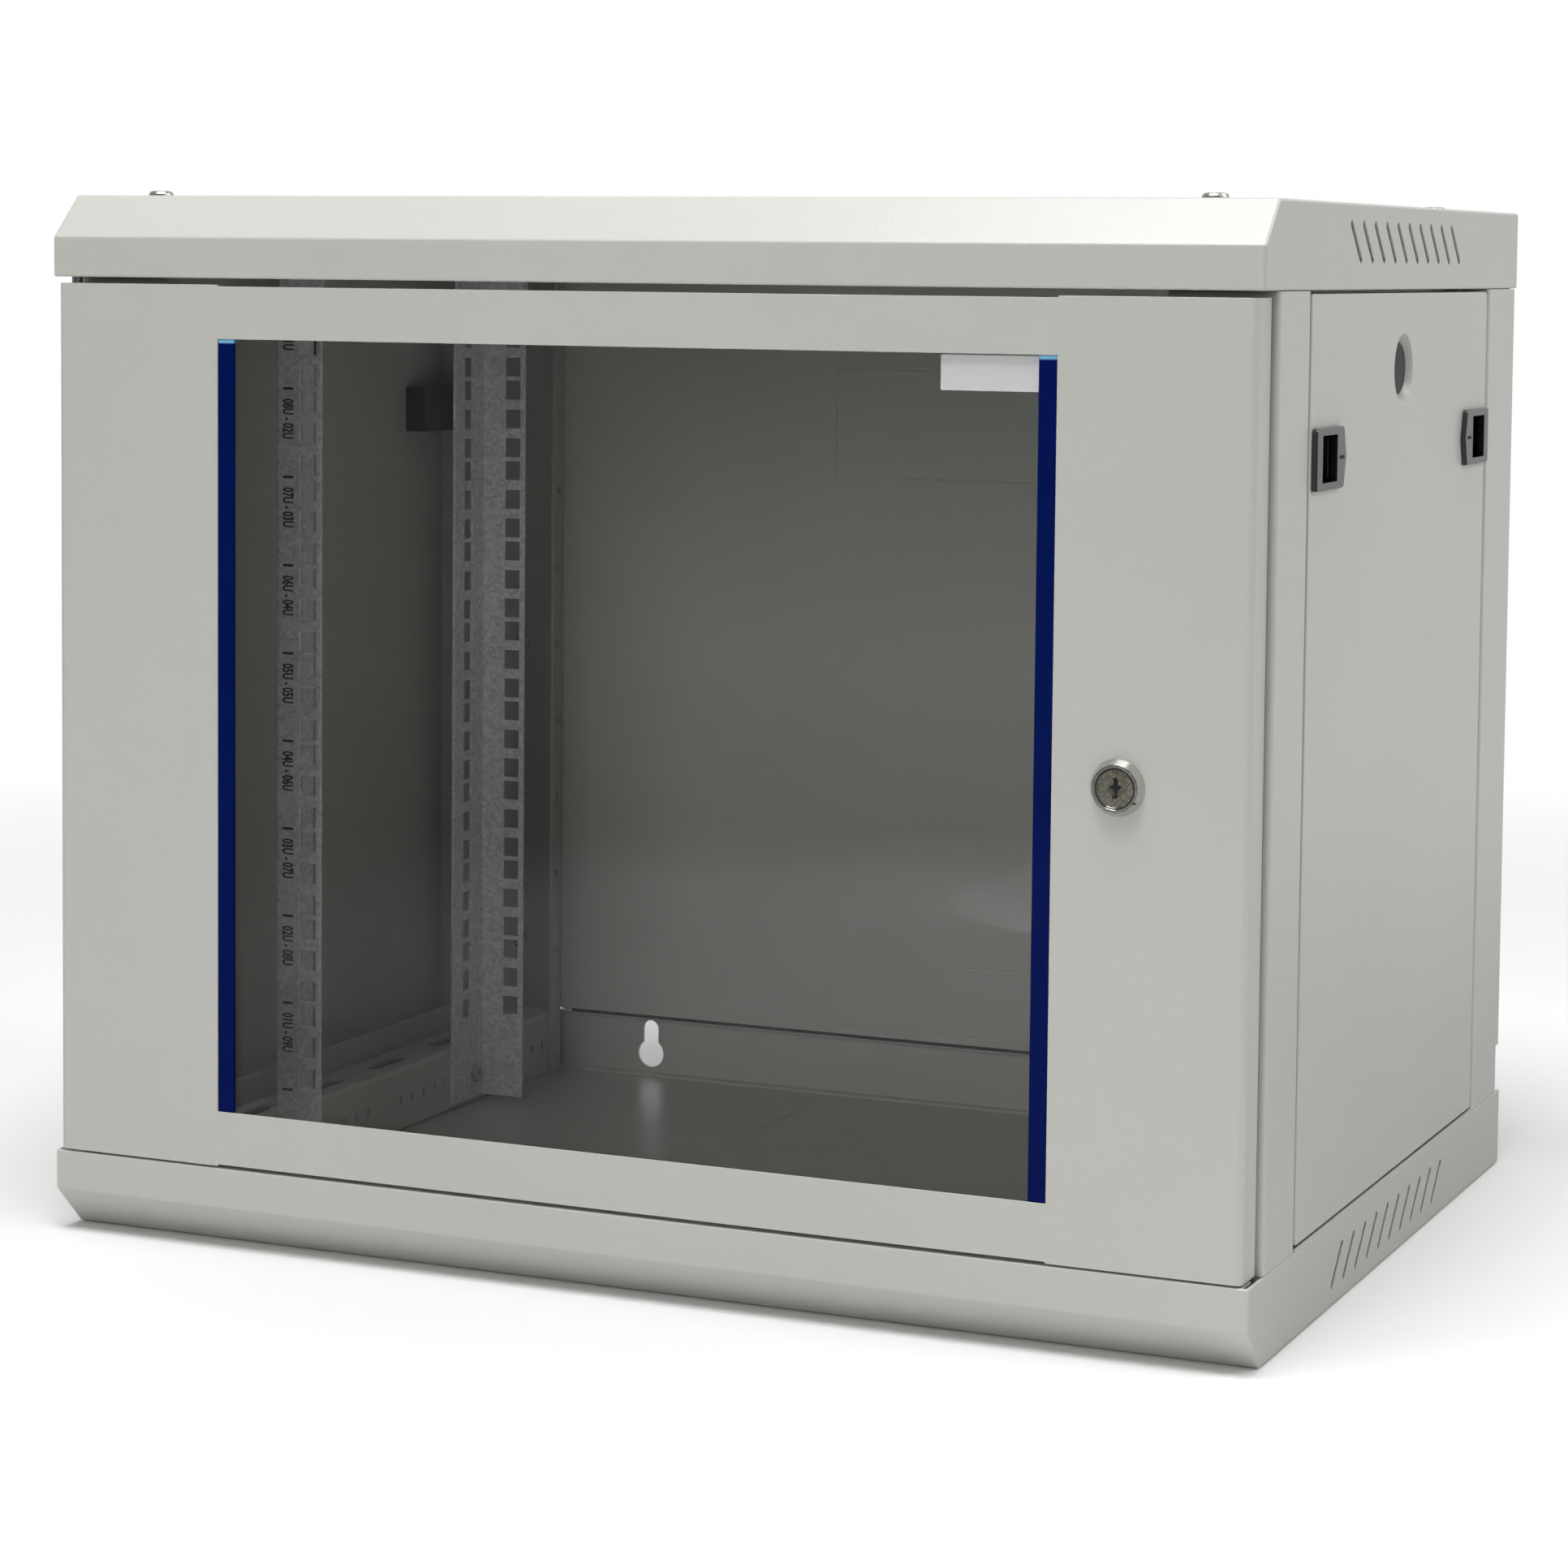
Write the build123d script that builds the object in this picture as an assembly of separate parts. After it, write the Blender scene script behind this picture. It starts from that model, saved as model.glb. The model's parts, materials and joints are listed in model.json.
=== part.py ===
# Wall mount network cabinet, nine rack units, glazed door, lift-off side panels.
# Row frame: X to the right, Y from the front to the wall, Z up, millimetres.
# Origin: middle of the footprint, on the underside.
import os
from build123d import *

os.makedirs("parts", exist_ok=True)

# main sizes
rackOpening = 450.0       # clear width between the rails
holeInset = 7.55          # rail edge to hole centre, 465.1 between the two rows
railFace = 26.5           # width of a rail's face
postWidth = 50.0
depth = 450.0
rackUnits = 9
unitHeight = 44.45
endSpace = 49.975         # above and below the rack units

# sheet thicknesses
coverSheet = 1.2
frameSheet = 1.5
railSheet = 1.5
panelSheet = 1.0
doorSheet = 1.2
backSheet = 1.2
glassThickness = 4.0

# covers
coverHeight = 39.0
lipHeight = 19.0
slopeRun = 20.0
lipReturn = 14.0
coverBend = 1.6
returnInset = 3.0
skirtStep = 1.2
ventCount = 10
ventPitch = 20.0
ventLength = 26.0
ventWidth = 3.6
ventFromFace = 17.5
ventMiddle = 4.0
knockoutWidth = 160.0
knockoutDepth = 70.0
knockoutFromRear = 45.0
grooveWidth = 0.9
grooveDepth = 0.35

# posts
postFromFront = 21.5
frontPostDepth = 47.0
rearPostFromRear = 7.5
rearPostDepth = 51.5
postReturn = 13.5
seatDepth = 14.8          # step down from the outer face to the panel seat
seatWidth = 13.5
postBend = 1.5
postLap = 6.0
postGap = 0.3
tieHole = 4.0             # square, one to a rack unit in the rear posts

# side sills and depth bars
sillHeight = 46.8
barHeight = 33.3
barFlange = 26.5
barSlotLength = 36.0
barSlotWidth = 9.0
barSlotPitch = 68.0
barSlotCount = 5
barSlotMiddle = 39.0

# cross members at the wall
memberHeight = 34.8
keyholeSpacing = 390.0
keyholeRadius = 8.0
keyholeSlotRadius = 4.75
keyholeRise = 12.6        # circle centre above the member's underside
keyholeTop = 31.8         # slot top above the member's underside

# back panel
backKnockout = (351.5, 412.7)
backKnockoutLow = (41.0, 80.7)
backCornerRise = 27.0
backLap = 6.0             # how far the plate's ends run behind the posts

# fasteners: head radius, head height, shaft radius, nut width, nut height
coverScrewSize = (6.0, 2.5, 2.9, 10.0, 4.0)
railScrewSize = (5.2, 2.4, 2.9, 10.0, 4.0)
backScrewSize = (4.75, 2.8, 2.4, 8.0, 3.2)
screwClearance = 0.3
coverScrewInset = 35.0
backScrewInset = 25.0
backScrewEnd = 75.0       # outer rows to the top and the underside

# rack rails
frontRailFromFront = 124.8
railSetback = 221.2       # front face of front rail to rear face of rear rail
railFlange = 35.0
railEnd = 5.0
railHole = 9.5
railHoleHigh = 10.5
railBend = 1.5
railScrewInset = 9.0
railScrewHeight = 18.0

# door
doorSideGap = 3.0
doorTopGap = 3.0
doorBottomGap = 1.0
doorDepth = 19.0
doorLip = 12.0
doorStep = 0.8
doorBend = 3.0
windowSide = 88.4         # door edge to window edge
windowBottom = 26.2
windowTop = 25.4
glassOverlap = 12.0
gasketThickness = 1.0
trimWidth = 8.6
trimThickness = 1.8
clipSheet = 1.5
clipReach = 14.0
clipFromEnd = 96.0
studRadius = 2.0
studBeside = 5.0

# hinges
hingeInset = 10.0
hingeBack = 5.5
pinRadius = 2.5
runningFit = 0.05
bracketPlate = 2.0
pinTravel = 6.0
springWire = 0.4          # radius of the spring wire
springTurns = 4

# lock
lockFromEdge = 58.6
lockHeight = 249.0
barrelRadius = 9.5
bezelRadius = 12.4
bezelFace = 10.4          # radius of the bezel's flat ring in front of its cone
bezelHeight = 4.0
plugHead = 8.2
plugShaft = 6.0
plugSink = 0.9            # plug face behind the bezel's face
keySlot = (9.0, 2.0)
keyGuide = (10.0, 7.0)
markAngle = -33.0         # notch on the bezel that shows the closed position
camLength = 30.0
camWidth = 16.0
camThickness = 2.0
camSquare = 7.0

# side panels
panelFrontGap = 1.5
panelRearGap = 4.0
panelTopGap = 1.5
panelBottomGap = 2.4
panelSeatGap = 0.3
dishHeight = 424.0
dishRadius = 16.5
dishFloor = 12.0
dishDepth = 5.5

# latches
latchFromTop = 112.75
latchFace = 27.5
latchLength = 43.0
latchPoint = 4.0
latchInset = 3.0
latchThickness = 2.6
latchTravel = 6.0
latchBody = 24.6
latchBodyLength = 38.0
latchBodyInset = 5.5
latchSlot = 14.0
latchWall = 1.5
tongueGap = 0.8

# derived
height = rackUnits * unitHeight + 2 * endSpace
webInner = rackOpening / 2 + railFace      # inner side of the posts' webs, where bars and rails sit
postInner = webInner - frameSheet
halfWidth = postInner + postWidth          # 600 over the covers
front = -depth / 2
rear = depth / 2
frontPostFace = front + postFromFront
frontPostBack = frontPostFace + frontPostDepth
rearPostFace = rear - rearPostFromRear
rearPostFront = rearPostFace - rearPostDepth
seatX = halfWidth - seatDepth
sillFront = frontPostBack + seatWidth
sillRear = rearPostFront - seatWidth
floorTop = coverSheet
tabTop = coverSheet + frameSheet
screwX = halfWidth - coverScrewInset
frontScrewY = frontPostFace + 18.5
rearScrewY = rearPostFace - 29.5
hingeX = -halfWidth + hingeInset
hingeY = front + hingeBack
doorLow = coverHeight + doorBottomGap
doorHigh = height - coverHeight - doorTopGap
doorEdge = halfWidth - doorSideGap
doorRear = front + doorDepth
windowX = doorEdge - windowSide
windowLow = doorLow + windowBottom
windowHigh = doorHigh - windowTop
skinBack = front + doorSheet
glassFront = skinBack + gasketThickness
glassBack = glassFront + glassThickness
lockX = doorEdge - lockFromEdge
camFront = doorRear + 5.5
panelFront = frontPostBack + panelFrontGap
panelRear = rearPostFront - panelRearGap
panelLow = coverHeight + panelBottomGap
panelHigh = height - coverHeight - panelTopGap
panelMiddle = (panelFront + panelRear) / 2
panelBackX = seatX + panelSeatGap
latchHeight = height - latchFromTop
latchLow = latchHeight - latchFace / 2
latchHigh = latchHeight + latchFace / 2


def block(x0, x1, y0, y1, z0, z1):
    body = Box(abs(x1 - x0), abs(y1 - y0), abs(z1 - z0))
    return Pos((x0 + x1) / 2, (y0 + y1) / 2, (z0 + z1) / 2) * body


def run(face, axis, start, end):
    # a flat outline drawn in XY, stood up and pulled along one axis
    if axis == "X":
        return Pos(start, 0, 0) * extrude(Plane.YZ * face, amount=end - start, dir=(1, 0, 0))
    if axis == "Y":
        return Pos(0, start, 0) * extrude(Plane.XZ * face, amount=end - start, dir=(0, 1, 0))
    return Pos(0, 0, start) * extrude(face, amount=end - start, dir=(0, 0, 1))


def outline(points):
    return make_face(Polyline(*points, close=True))


def shifted(points, amount):
    # the same open line moved sideways, to its left for a positive amount
    normals = []
    for i in range(len(points) - 1):
        dx = points[i + 1][0] - points[i][0]
        dy = points[i + 1][1] - points[i][1]
        length = (dx * dx + dy * dy) ** 0.5
        normals.append((-dy / length, dx / length))
    moved = []
    for i, point in enumerate(points):
        before = normals[max(i - 1, 0)]
        after = normals[min(i, len(normals) - 1)]
        scale = amount / (1 + before[0] * after[0] + before[1] * after[1])
        moved.append((point[0] + scale * (before[0] + after[0]), point[1] + scale * (before[1] + after[1])))
    return moved


def folded(points, sheet, side, bend):
    # sheet metal seen end on: the line is its outer skin, side 1 puts the metal left of it
    middle = shifted(points, side * sheet / 2)
    return trace(FilletPolyline(*middle, radius=bend), line_width=sheet)


def rod(x, y, z, radius, length, axis):
    # a cylinder from the given point along +axis
    body = Pos(0, 0, length / 2) * Cylinder(radius, length)
    turns = {"Z": Rot(0, 0, 0), "X": Rot(0, 90, 0), "Y": Rot(-90, 0, 0)}
    return Pos(x, y, z) * turns[axis] * body


def taper(x, y, z, start, end, length, axis):
    # a cone from radius start at the given point to radius end along +axis
    body = Pos(0, 0, length / 2) * Cone(start, end, length)
    turns = {"Z": Rot(0, 0, 0), "X": Rot(0, 90, 0), "Y": Rot(-90, 0, 0)}
    return Pos(x, y, z) * turns[axis] * body


def hexagon(x, y, z, flats, length, axis):
    body = extrude(RegularPolygon(flats / 2, 6, major_radius=False), amount=length)
    turns = {"Z": Rot(0, 0, 0), "X": Rot(0, 90, 0), "Y": Rot(-90, 0, 0)}
    return Pos(x, y, z) * turns[axis] * body


def ring(x0, x1, y0, y1, line):
    # the outline of a rectangle as a thin groove
    middle = Pos((x0 + x1) / 2, (y0 + y1) / 2)
    return middle * (Rectangle(x1 - x0, y1 - y0) - Rectangle(x1 - x0 - 2 * line, y1 - y0 - 2 * line))


def left(shape):
    return mirror(shape, about=Plane.YZ)


def above(shape):
    return mirror(shape, about=Plane.XY.offset(height / 2))


def behind(shape, middle):
    return mirror(shape, about=Plane.XZ.offset(-middle))


def save(name, shape):
    export_step(shape, os.path.join("parts", name + ".step"))


# covers: folded pans with a sloping front edge, a lip with a return and vented skirts
def chamferedSlot(length, width):
    # a punched slot with its corners cut, plainer than a round-ended one
    half, side = length / 2, width / 2
    corner = side * 0.6
    points = []
    for sx, sy in ((1, 1), (-1, 1), (-1, -1), (1, -1)):
        pair = [(sx * half, sy * (side - corner)), (sx * (half - corner), sy * side)]
        points += pair if sx * sy > 0 else pair[::-1]
    return outline(points)


def cover():
    slopeTop = coverHeight - lipHeight
    skin = [(front, coverHeight), (front, slopeTop), (front + slopeRun, 0), (rear, 0)]
    outer = run(outline(skin + [(rear, coverHeight)]), "X", -halfWidth, halfWidth)
    bends = [e for e in outer.edges() if e.center().Z < coverHeight - 0.1 and e.center().Y < rear - 0.1]
    outer = fillet(bends, coverBend)
    hollow = shifted(skin, coverSheet)
    hollow[0] = (hollow[0][0], coverHeight + 1)
    hollow[-1] = (rear + 1, hollow[-1][1])
    hollow.append((rear + 1, coverHeight + 1))
    shell = outer - run(outline(hollow), "X", -halfWidth + coverSheet, halfWidth - coverSheet)
    reach = halfWidth - returnInset
    shell += block(-reach, reach, front + coverSheet, front + lipReturn, coverHeight - coverSheet,
                   coverHeight)
    edge = [e for e in shell.edges().filter_by(Axis.X) if abs(e.center().Y - front) < 0.1]
    shell = fillet([e for e in edge if abs(e.center().Z - coverHeight) < 0.1], coverSheet * 0.8)
    slot = Rot(0, 0, 45) * chamferedSlot(ventLength, ventWidth)
    vents = []
    for i in range(ventCount):
        y = ventMiddle + (i - (ventCount - 1) / 2) * ventPitch
        vents.append(run(Pos(y, ventFromFace) * slot, "X", -halfWidth - 1, halfWidth + 1))
    shell -= vents
    far = rear - knockoutFromRear
    groove = ring(-knockoutWidth / 2, knockoutWidth / 2, far - knockoutDepth, far, grooveWidth)
    shell -= run(groove, "Z", 0, grooveDepth)
    shell -= run(groove, "Z", coverSheet - grooveDepth, coverSheet)
    shell -= rod(hingeX, hingeY, coverHeight - 2 * coverSheet, pinRadius + 0.1, 3 * coverSheet, "Z")
    return shell


coverScrews = [(x, y) for x in (-screwX, screwX) for y in (frontScrewY, rearScrewY)]
plain = cover()
bottomCover = plain
for side in (-1, 1):
    bottomCover += block(side * (halfWidth - coverSheet), side * halfWidth, frontPostBack + 1.0,
                         rearPostFront - 1.0, coverHeight, coverHeight + skirtStep)
bottomCover -= [taper(x, y, 0, 5.7, 3.0, tabTop, "Z") for x, y in coverScrews]
topCover = above(plain - [rod(x, y, -1, coverScrewSize[2] + screwClearance, 3, "Z") for x, y in coverScrews])
save("top_cover", topCover)
save("bottom_cover", bottomCover)


# posts: folded channels with a stepped seat for the side panel
def frontSkin(outer):
    inner = postInner
    return [(inner, frontPostFace + postReturn), (inner, frontPostFace), (outer, frontPostFace),
            (outer, frontPostBack), (seatX, frontPostBack), (seatX, sillFront)]


def rearSkin(outer):
    return [(postInner, rearPostFace - postReturn), (postInner, rearPostFace), (outer, rearPostFace),
            (outer, rearPostFront), (seatX, rearPostFront), (seatX, sillRear)]


def post(skin, side, tabFront, tabRear, screwY):
    tuck = halfWidth - coverSheet - postGap      # the ends go inside the cover skirts
    body = run(folded(skin(halfWidth), frameSheet, side, postBend), "Z",
               coverHeight + postGap, height - coverHeight - postGap)
    end = run(folded(skin(tuck), frameSheet, side, postBend), "Z", floorTop, coverHeight + postLap)
    end += block(webInner, tuck - frameSheet, tabFront, tabRear, floorTop, tabTop)
    low = end - taper(screwX, screwY, 0, 5.7, 3.0, tabTop, "Z")
    high = end - rod(screwX, screwY, 0, coverScrewSize[2] + screwClearance, 6, "Z")
    body += low
    body += above(high)
    return body


latchSlotLow = latchHeight - latchSlot / 2
latchSlotHigh = latchHeight + latchSlot / 2
tongueInner = panelBackX + 3.0
tongueOuter = tongueInner + 3.0
cableTieRows = [endSpace + (i + 0.5) * unitHeight for i in range(rackUnits)]
backScrewRows = [backScrewEnd, height / 2, height - backScrewEnd]
backScrewX = halfWidth - backScrewInset

frontPost = post(frontSkin, 1, frontPostFace + frameSheet, frontPostBack - frameSheet, frontScrewY)
frontPost -= block(tongueInner - 1, tongueOuter + 1, frontPostBack - 3, frontPostBack + 1,
                   latchSlotLow, latchSlotHigh)
rearPost = post(rearSkin, -1, rearPostFront + frameSheet, rearPostFace - frameSheet, rearScrewY)
rearPost -= block(tongueInner - 1, tongueOuter + 1, rearPostFront - 1, rearPostFront + 3,
                  latchSlotLow, latchSlotHigh)
cableTieHoles = []
for z in cableTieRows:
    cableTieHoles.append(block(postInner - 1, postInner + 3, rearPostFace - 7 - tieHole / 2,
                               rearPostFace - 7 + tieHole / 2, z - tieHole / 2, z + tieHole / 2))
rearPost -= cableTieHoles
backHole = backScrewSize[2] + screwClearance
rearPost -= [rod(backScrewX, rearPostFace - 4, z, backHole, 6, "Y") for z in backScrewRows]
lockSlot = block(postInner - 1, postInner + frameSheet + 1, camFront - 0.8, camFront + camThickness + 0.8,
                 lockHeight - camWidth / 2 - 1, lockHeight + camLength)
save("front_post_right", frontPost - lockSlot)
save("front_post_left", left(frontPost))
save("rear_post_right", rearPost)
save("rear_post_left", left(rearPost))

# side sills: the panel seat between the posts, with air windows behind the vents
sill = run(folded([(halfWidth - 2, floorTop), (seatX - frameSheet, floorTop),
                   (seatX - frameSheet, floorTop + sillHeight)], frameSheet, -1, postBend),
           "Y", sillFront, sillRear)
sillWindows = []
for i in range(ventCount // 2):
    y = ventMiddle + (i - (ventCount // 2 - 1) / 2) * 2 * ventPitch
    sillWindows.append(block(seatX - 3, seatX + 1, y - 15, y + 15, ventFromFace - 9, ventFromFace + 9))
sill -= sillWindows
save("lower_side_sill_right", sill)
save("lower_side_sill_left", left(sill))
save("upper_side_sill_right", above(sill))
save("upper_side_sill_left", left(above(sill)))

# depth bars: angles from front post to rear post that carry the rack rails
frontRailFace = front + frontRailFromFront
rearRailFace = frontRailFace + railSetback
railMiddle = (frontRailFace + rearRailFace) / 2
railScrewYs = [frontRailFace + railScrewInset, rearRailFace - railScrewInset]
bar = run(folded([(webInner, tabTop), (webInner, tabTop + barHeight),
                  (webInner + barFlange, tabTop + barHeight)], frameSheet, -1, postBend),
          "Y", frontPostFace + frameSheet + 1, rearPostFace - frameSheet - 1)
barCuts = []
slotX = webInner + barFlange / 2 + 0.5
for i in range(barSlotCount):
    y = barSlotMiddle + (i - (barSlotCount - 1) / 2) * barSlotPitch
    face = Pos(slotX, y) * Rot(0, 0, 90) * chamferedSlot(barSlotLength, barSlotWidth)
    barCuts.append(run(face, "Z", tabTop + barHeight - 3, tabTop + barHeight + 1))
smallSlots = []
for start, count in ((-183.2, 4), (-55.5, 5), (30.4, 5), (170.5, 4)):
    smallSlots += [start + i * 12.7 for i in range(count)]
for y in smallSlots:
    barCuts.append(block(webInner - 1, webInner + 3, y - 1.5, y + 1.5, railScrewHeight - 2.5,
                         railScrewHeight + 2.5))
screwHole = railScrewSize[2] + screwClearance
for y in railScrewYs:
    barCuts.append(rod(webInner - 1, y, railScrewHeight, screwHole, 4, "X"))
bar -= barCuts
save("lower_depth_bar_right", bar)
save("lower_depth_bar_left", left(bar))
save("upper_depth_bar_right", above(bar))
save("upper_depth_bar_left", left(above(bar)))


# cross members: channels at the wall with the keyholes
def crossMember(low):
    high = low + memberHeight
    skin = [(rearPostFace, high), (rear, high), (rear, low), (rearPostFace, low)]
    reach = halfWidth - coverSheet - postGap
    body = run(folded(skin, frameSheet, -1, postBend), "X", -reach, reach)
    hole = Pos(0, keyholeRise) * Circle(keyholeRadius)
    hole += Pos(0, keyholeTop - keyholeSlotRadius) * Circle(keyholeSlotRadius)
    hole += Pos(0, (keyholeRise + keyholeTop - keyholeSlotRadius) / 2) * Rectangle(
        2 * keyholeSlotRadius, keyholeTop - keyholeSlotRadius - keyholeRise)
    for x in (-keyholeSpacing / 2, keyholeSpacing / 2):
        body -= run(Pos(x, low) * hole, "Y", rear - 3, rear + 1)
    return body


upperMemberLow = height - coverSheet - memberHeight
save("lower_cross_member", crossMember(floorTop))
save("upper_cross_member", crossMember(upperMemberLow))

# back panel
plateLow = floorTop + memberHeight
plateHigh = upperMemberLow
plateEdge = halfWidth - 1
cornerLow = plateLow + backCornerRise
cornerHigh = height - coverHeight - 0.5
lapEdge = postInner + backLap
half = [(0, plateLow), (postInner - backLap / 2, plateLow), (lapEdge, plateLow + backLap / 2),
        (lapEdge, cornerLow), (plateEdge, cornerLow), (plateEdge, cornerHigh), (lapEdge, cornerHigh),
        (lapEdge, plateHigh), (0, plateHigh)]
plate = run(outline(half), "Y", rearPostFace, rearPostFace + backSheet)
plate += block(plateEdge - backSheet, plateEdge, rearPostFace, rear, cornerLow, cornerHigh)
plate -= [rod(backScrewX, rearPostFace - 1, z, backHole, 4, "Y") for z in backScrewRows]
plate += left(plate)
for low, high in (backKnockout, backKnockoutLow):
    groove = ring(-knockoutWidth / 2, knockoutWidth / 2, low, high, grooveWidth)
    plate -= run(groove, "Y", rearPostFace, rearPostFace + grooveDepth)
    plate -= run(groove, "Y", rearPostFace + backSheet - grooveDepth, rearPostFace + backSheet)
save("back_panel", plate)

# rack rails: angles with square holes in the standard unit pattern
railOuter = webInner
railInner = rackOpening / 2
railHoleX = railInner + holeInset
railHoles = []
for i in range(rackUnits):
    for offset in (6.35, 22.225, 38.1):
        railHoles.append(endSpace + i * unitHeight + offset)
rail = run(folded([(railInner, frontRailFace), (railOuter, frontRailFace),
                   (railOuter, frontRailFace + railFlange)], railSheet, 1, railBend),
           "Z", railEnd, height - railEnd)
railCuts = []
sideHoleY = frontRailFace + railFlange / 2 + 2
for z in railHoles:
    railCuts.append(block(railHoleX - railHole / 2, railHoleX + railHole / 2, frontRailFace - 1,
                          frontRailFace + railSheet + 1, z - railHoleHigh / 2, z + railHoleHigh / 2))
for z in railHoles:
    railCuts.append(block(railOuter - railSheet - 1, railOuter + 1, sideHoleY - railHole / 2,
                          sideHoleY + railHole / 2, z - railHoleHigh / 2, z + railHoleHigh / 2))
for z in (railScrewHeight, height - railScrewHeight):
    railCuts.append(rod(railOuter - railSheet - 1, railScrewYs[0], z, screwHole, 4, "X"))
rail -= railCuts
save("front_rail_right", rail)
save("front_rail_left", left(rail))
save("rear_rail_right", behind(rail, railMiddle))
save("rear_rail_left", left(behind(rail, railMiddle)))


# screws that hold the frame together, each with its nut
def panScrew(size, grip):
    # head below the joint plane, shaft upwards along +Z through the grip and flush with its nut
    headRadius, headHeight, shaft, nutFlats, nutHeight = size
    body = rod(0, 0, -headHeight, headRadius, headHeight, "Z")
    crown = [e for e in body.edges() if abs(e.center().Z + headHeight) < 0.01]
    body = chamfer(crown, headHeight * 0.4)
    body += rod(0, 0, -0.01, shaft, grip + 0.02, "Z")
    return body + hexagon(0, 0, grip, nutFlats, nutHeight, "Z")


coverScrew = panScrew(coverScrewSize, tabTop)
topScrews = [above(Pos(x, y, 0) * coverScrew) for x, y in coverScrews]
flushScrew = taper(0, 0, 0, 5.6, coverScrewSize[2], tabTop, "Z")
flushScrew += hexagon(0, 0, tabTop, coverScrewSize[3], coverScrewSize[4], "Z")
save("cover_screws_top", Compound(children=topScrews))
save("cover_screws_bottom", Compound(children=[Pos(x, y, 0) * flushScrew for x, y in coverScrews]))

backScrew = Rot(90, 0, 0) * panScrew(backScrewSize, backSheet + frameSheet)
backScrews = [Pos(x, rearPostFace + backSheet, z) * backScrew for x in (-backScrewX, backScrewX)
              for z in backScrewRows]
save("back_panel_screws", Compound(children=backScrews))

railScrew = Rot(0, 90, 0) * panScrew(railScrewSize, railSheet + frameSheet)
railScrews = []
for y in railScrewYs:
    for z in (railScrewHeight, height - railScrewHeight):
        screw = Pos(railOuter - railSheet, y, z) * railScrew
        railScrews += [screw, left(screw)]
save("rail_screws", Compound(children=railScrews))

# hinge brackets on the two covers
bracketReach = (-halfWidth + returnInset + 0.5, hingeX + 16)
bracketDeep = (front + coverSheet + 0.1, front + lipReturn)
lowTop = coverHeight - coverSheet
lowBracket = block(*bracketReach, *bracketDeep, lowTop - bracketPlate, lowTop)
lowBracket += rod(hingeX, hingeY, lowTop - bracketPlate - 3, pinRadius, 19.0, "Z")
highLow = height - lowTop
highBracket = block(*bracketReach, *bracketDeep, highLow, highLow + bracketPlate)
highBracket -= rod(hingeX, hingeY, highLow - 1, pinRadius + runningFit, bracketPlate + 2, "Z")
washer = rod(hingeX, hingeY, coverHeight, 5.0, 0.6, "Z")
washer -= rod(hingeX, hingeY, coverHeight - 1, pinRadius + 0.1, 3, "Z")
save("hinge_bracket_lower", lowBracket)
save("hinge_bracket_upper", highBracket)
save("hinge_washer", washer)

# door: a folded pan with a window
stepX = windowX
pan = [(-doorEdge, doorLow), (-stepX, doorLow), (-stepX, doorLow + doorStep), (stepX, doorLow + doorStep),
       (stepX, doorLow), (doorEdge, doorLow), (doorEdge, doorHigh), (stepX, doorHigh),
       (stepX, doorHigh - doorStep), (-stepX, doorHigh - doorStep), (-stepX, doorHigh), (-doorEdge, doorHigh)]
door = run(outline(pan), "Y", front, doorRear)
corners = [e for e in door.edges().filter_by(Axis.Z) if abs(abs(e.center().X) - doorEdge) < 0.1]
door = fillet([e for e in corners if e.center().Y < front + 0.1], doorBend)
inEdge, inLow, inHigh = doorEdge - doorSheet, doorLow + doorSheet, doorHigh - doorSheet
inStep = stepX + doorSheet
inner = [(-inEdge, inLow), (-inStep, inLow), (-inStep, inLow + doorStep), (inStep, inLow + doorStep),
         (inStep, inLow), (inEdge, inLow), (inEdge, inHigh), (inStep, inHigh),
         (inStep, inHigh - doorStep), (-inStep, inHigh - doorStep), (-inStep, inHigh), (-inEdge, inHigh)]
hollow = run(outline(inner), "Y", skinBack, doorRear - doorSheet)
inside = [e for e in hollow.edges().filter_by(Axis.Z) if abs(abs(e.center().X) - doorEdge + doorSheet) < 0.1]
hollow = fillet([e for e in inside if e.center().Y < front + 5], doorBend - doorSheet)
door -= hollow
door -= block(-doorEdge + doorLip, doorEdge - doorLip, doorRear - 3, doorRear + 1,
              doorLow + doorLip, doorHigh - doorLip)
door -= block(-windowX, windowX, front - 1, skinBack + 1, windowLow, windowHigh)
door -= rod(hingeX, hingeY, doorLow - 1, pinRadius + runningFit, 3, "Z")
door -= rod(hingeX, hingeY, doorHigh - 2, pinRadius + runningFit, 3, "Z")
door -= rod(lockX, front - 1, lockHeight, barrelRadius + 0.1, 4, "Y")
save("door_frame", door)

glassX = windowX + glassOverlap
glassLow = windowLow - glassOverlap
glassHigh = windowHigh + glassOverlap
save("door_glass", block(-glassX, glassX, glassFront, glassBack, glassLow, glassHigh))
gasket = block(-glassX, glassX, skinBack, glassFront, glassLow, glassHigh)
gasket -= block(-windowX, windowX, skinBack - 1, glassFront + 1, windowLow, windowHigh)
save("glass_gasket", gasket)
trim = block(windowX - trimWidth, windowX, glassFront - trimThickness, glassFront, windowLow, windowHigh)
trimEdges = [e for e in trim.edges() if e.center().Y < glassFront - trimThickness + 0.1]
trim = chamfer(trimEdges, 0.5)
save("trim_strip_right", trim)
save("trim_strip_left", left(trim))

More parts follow.
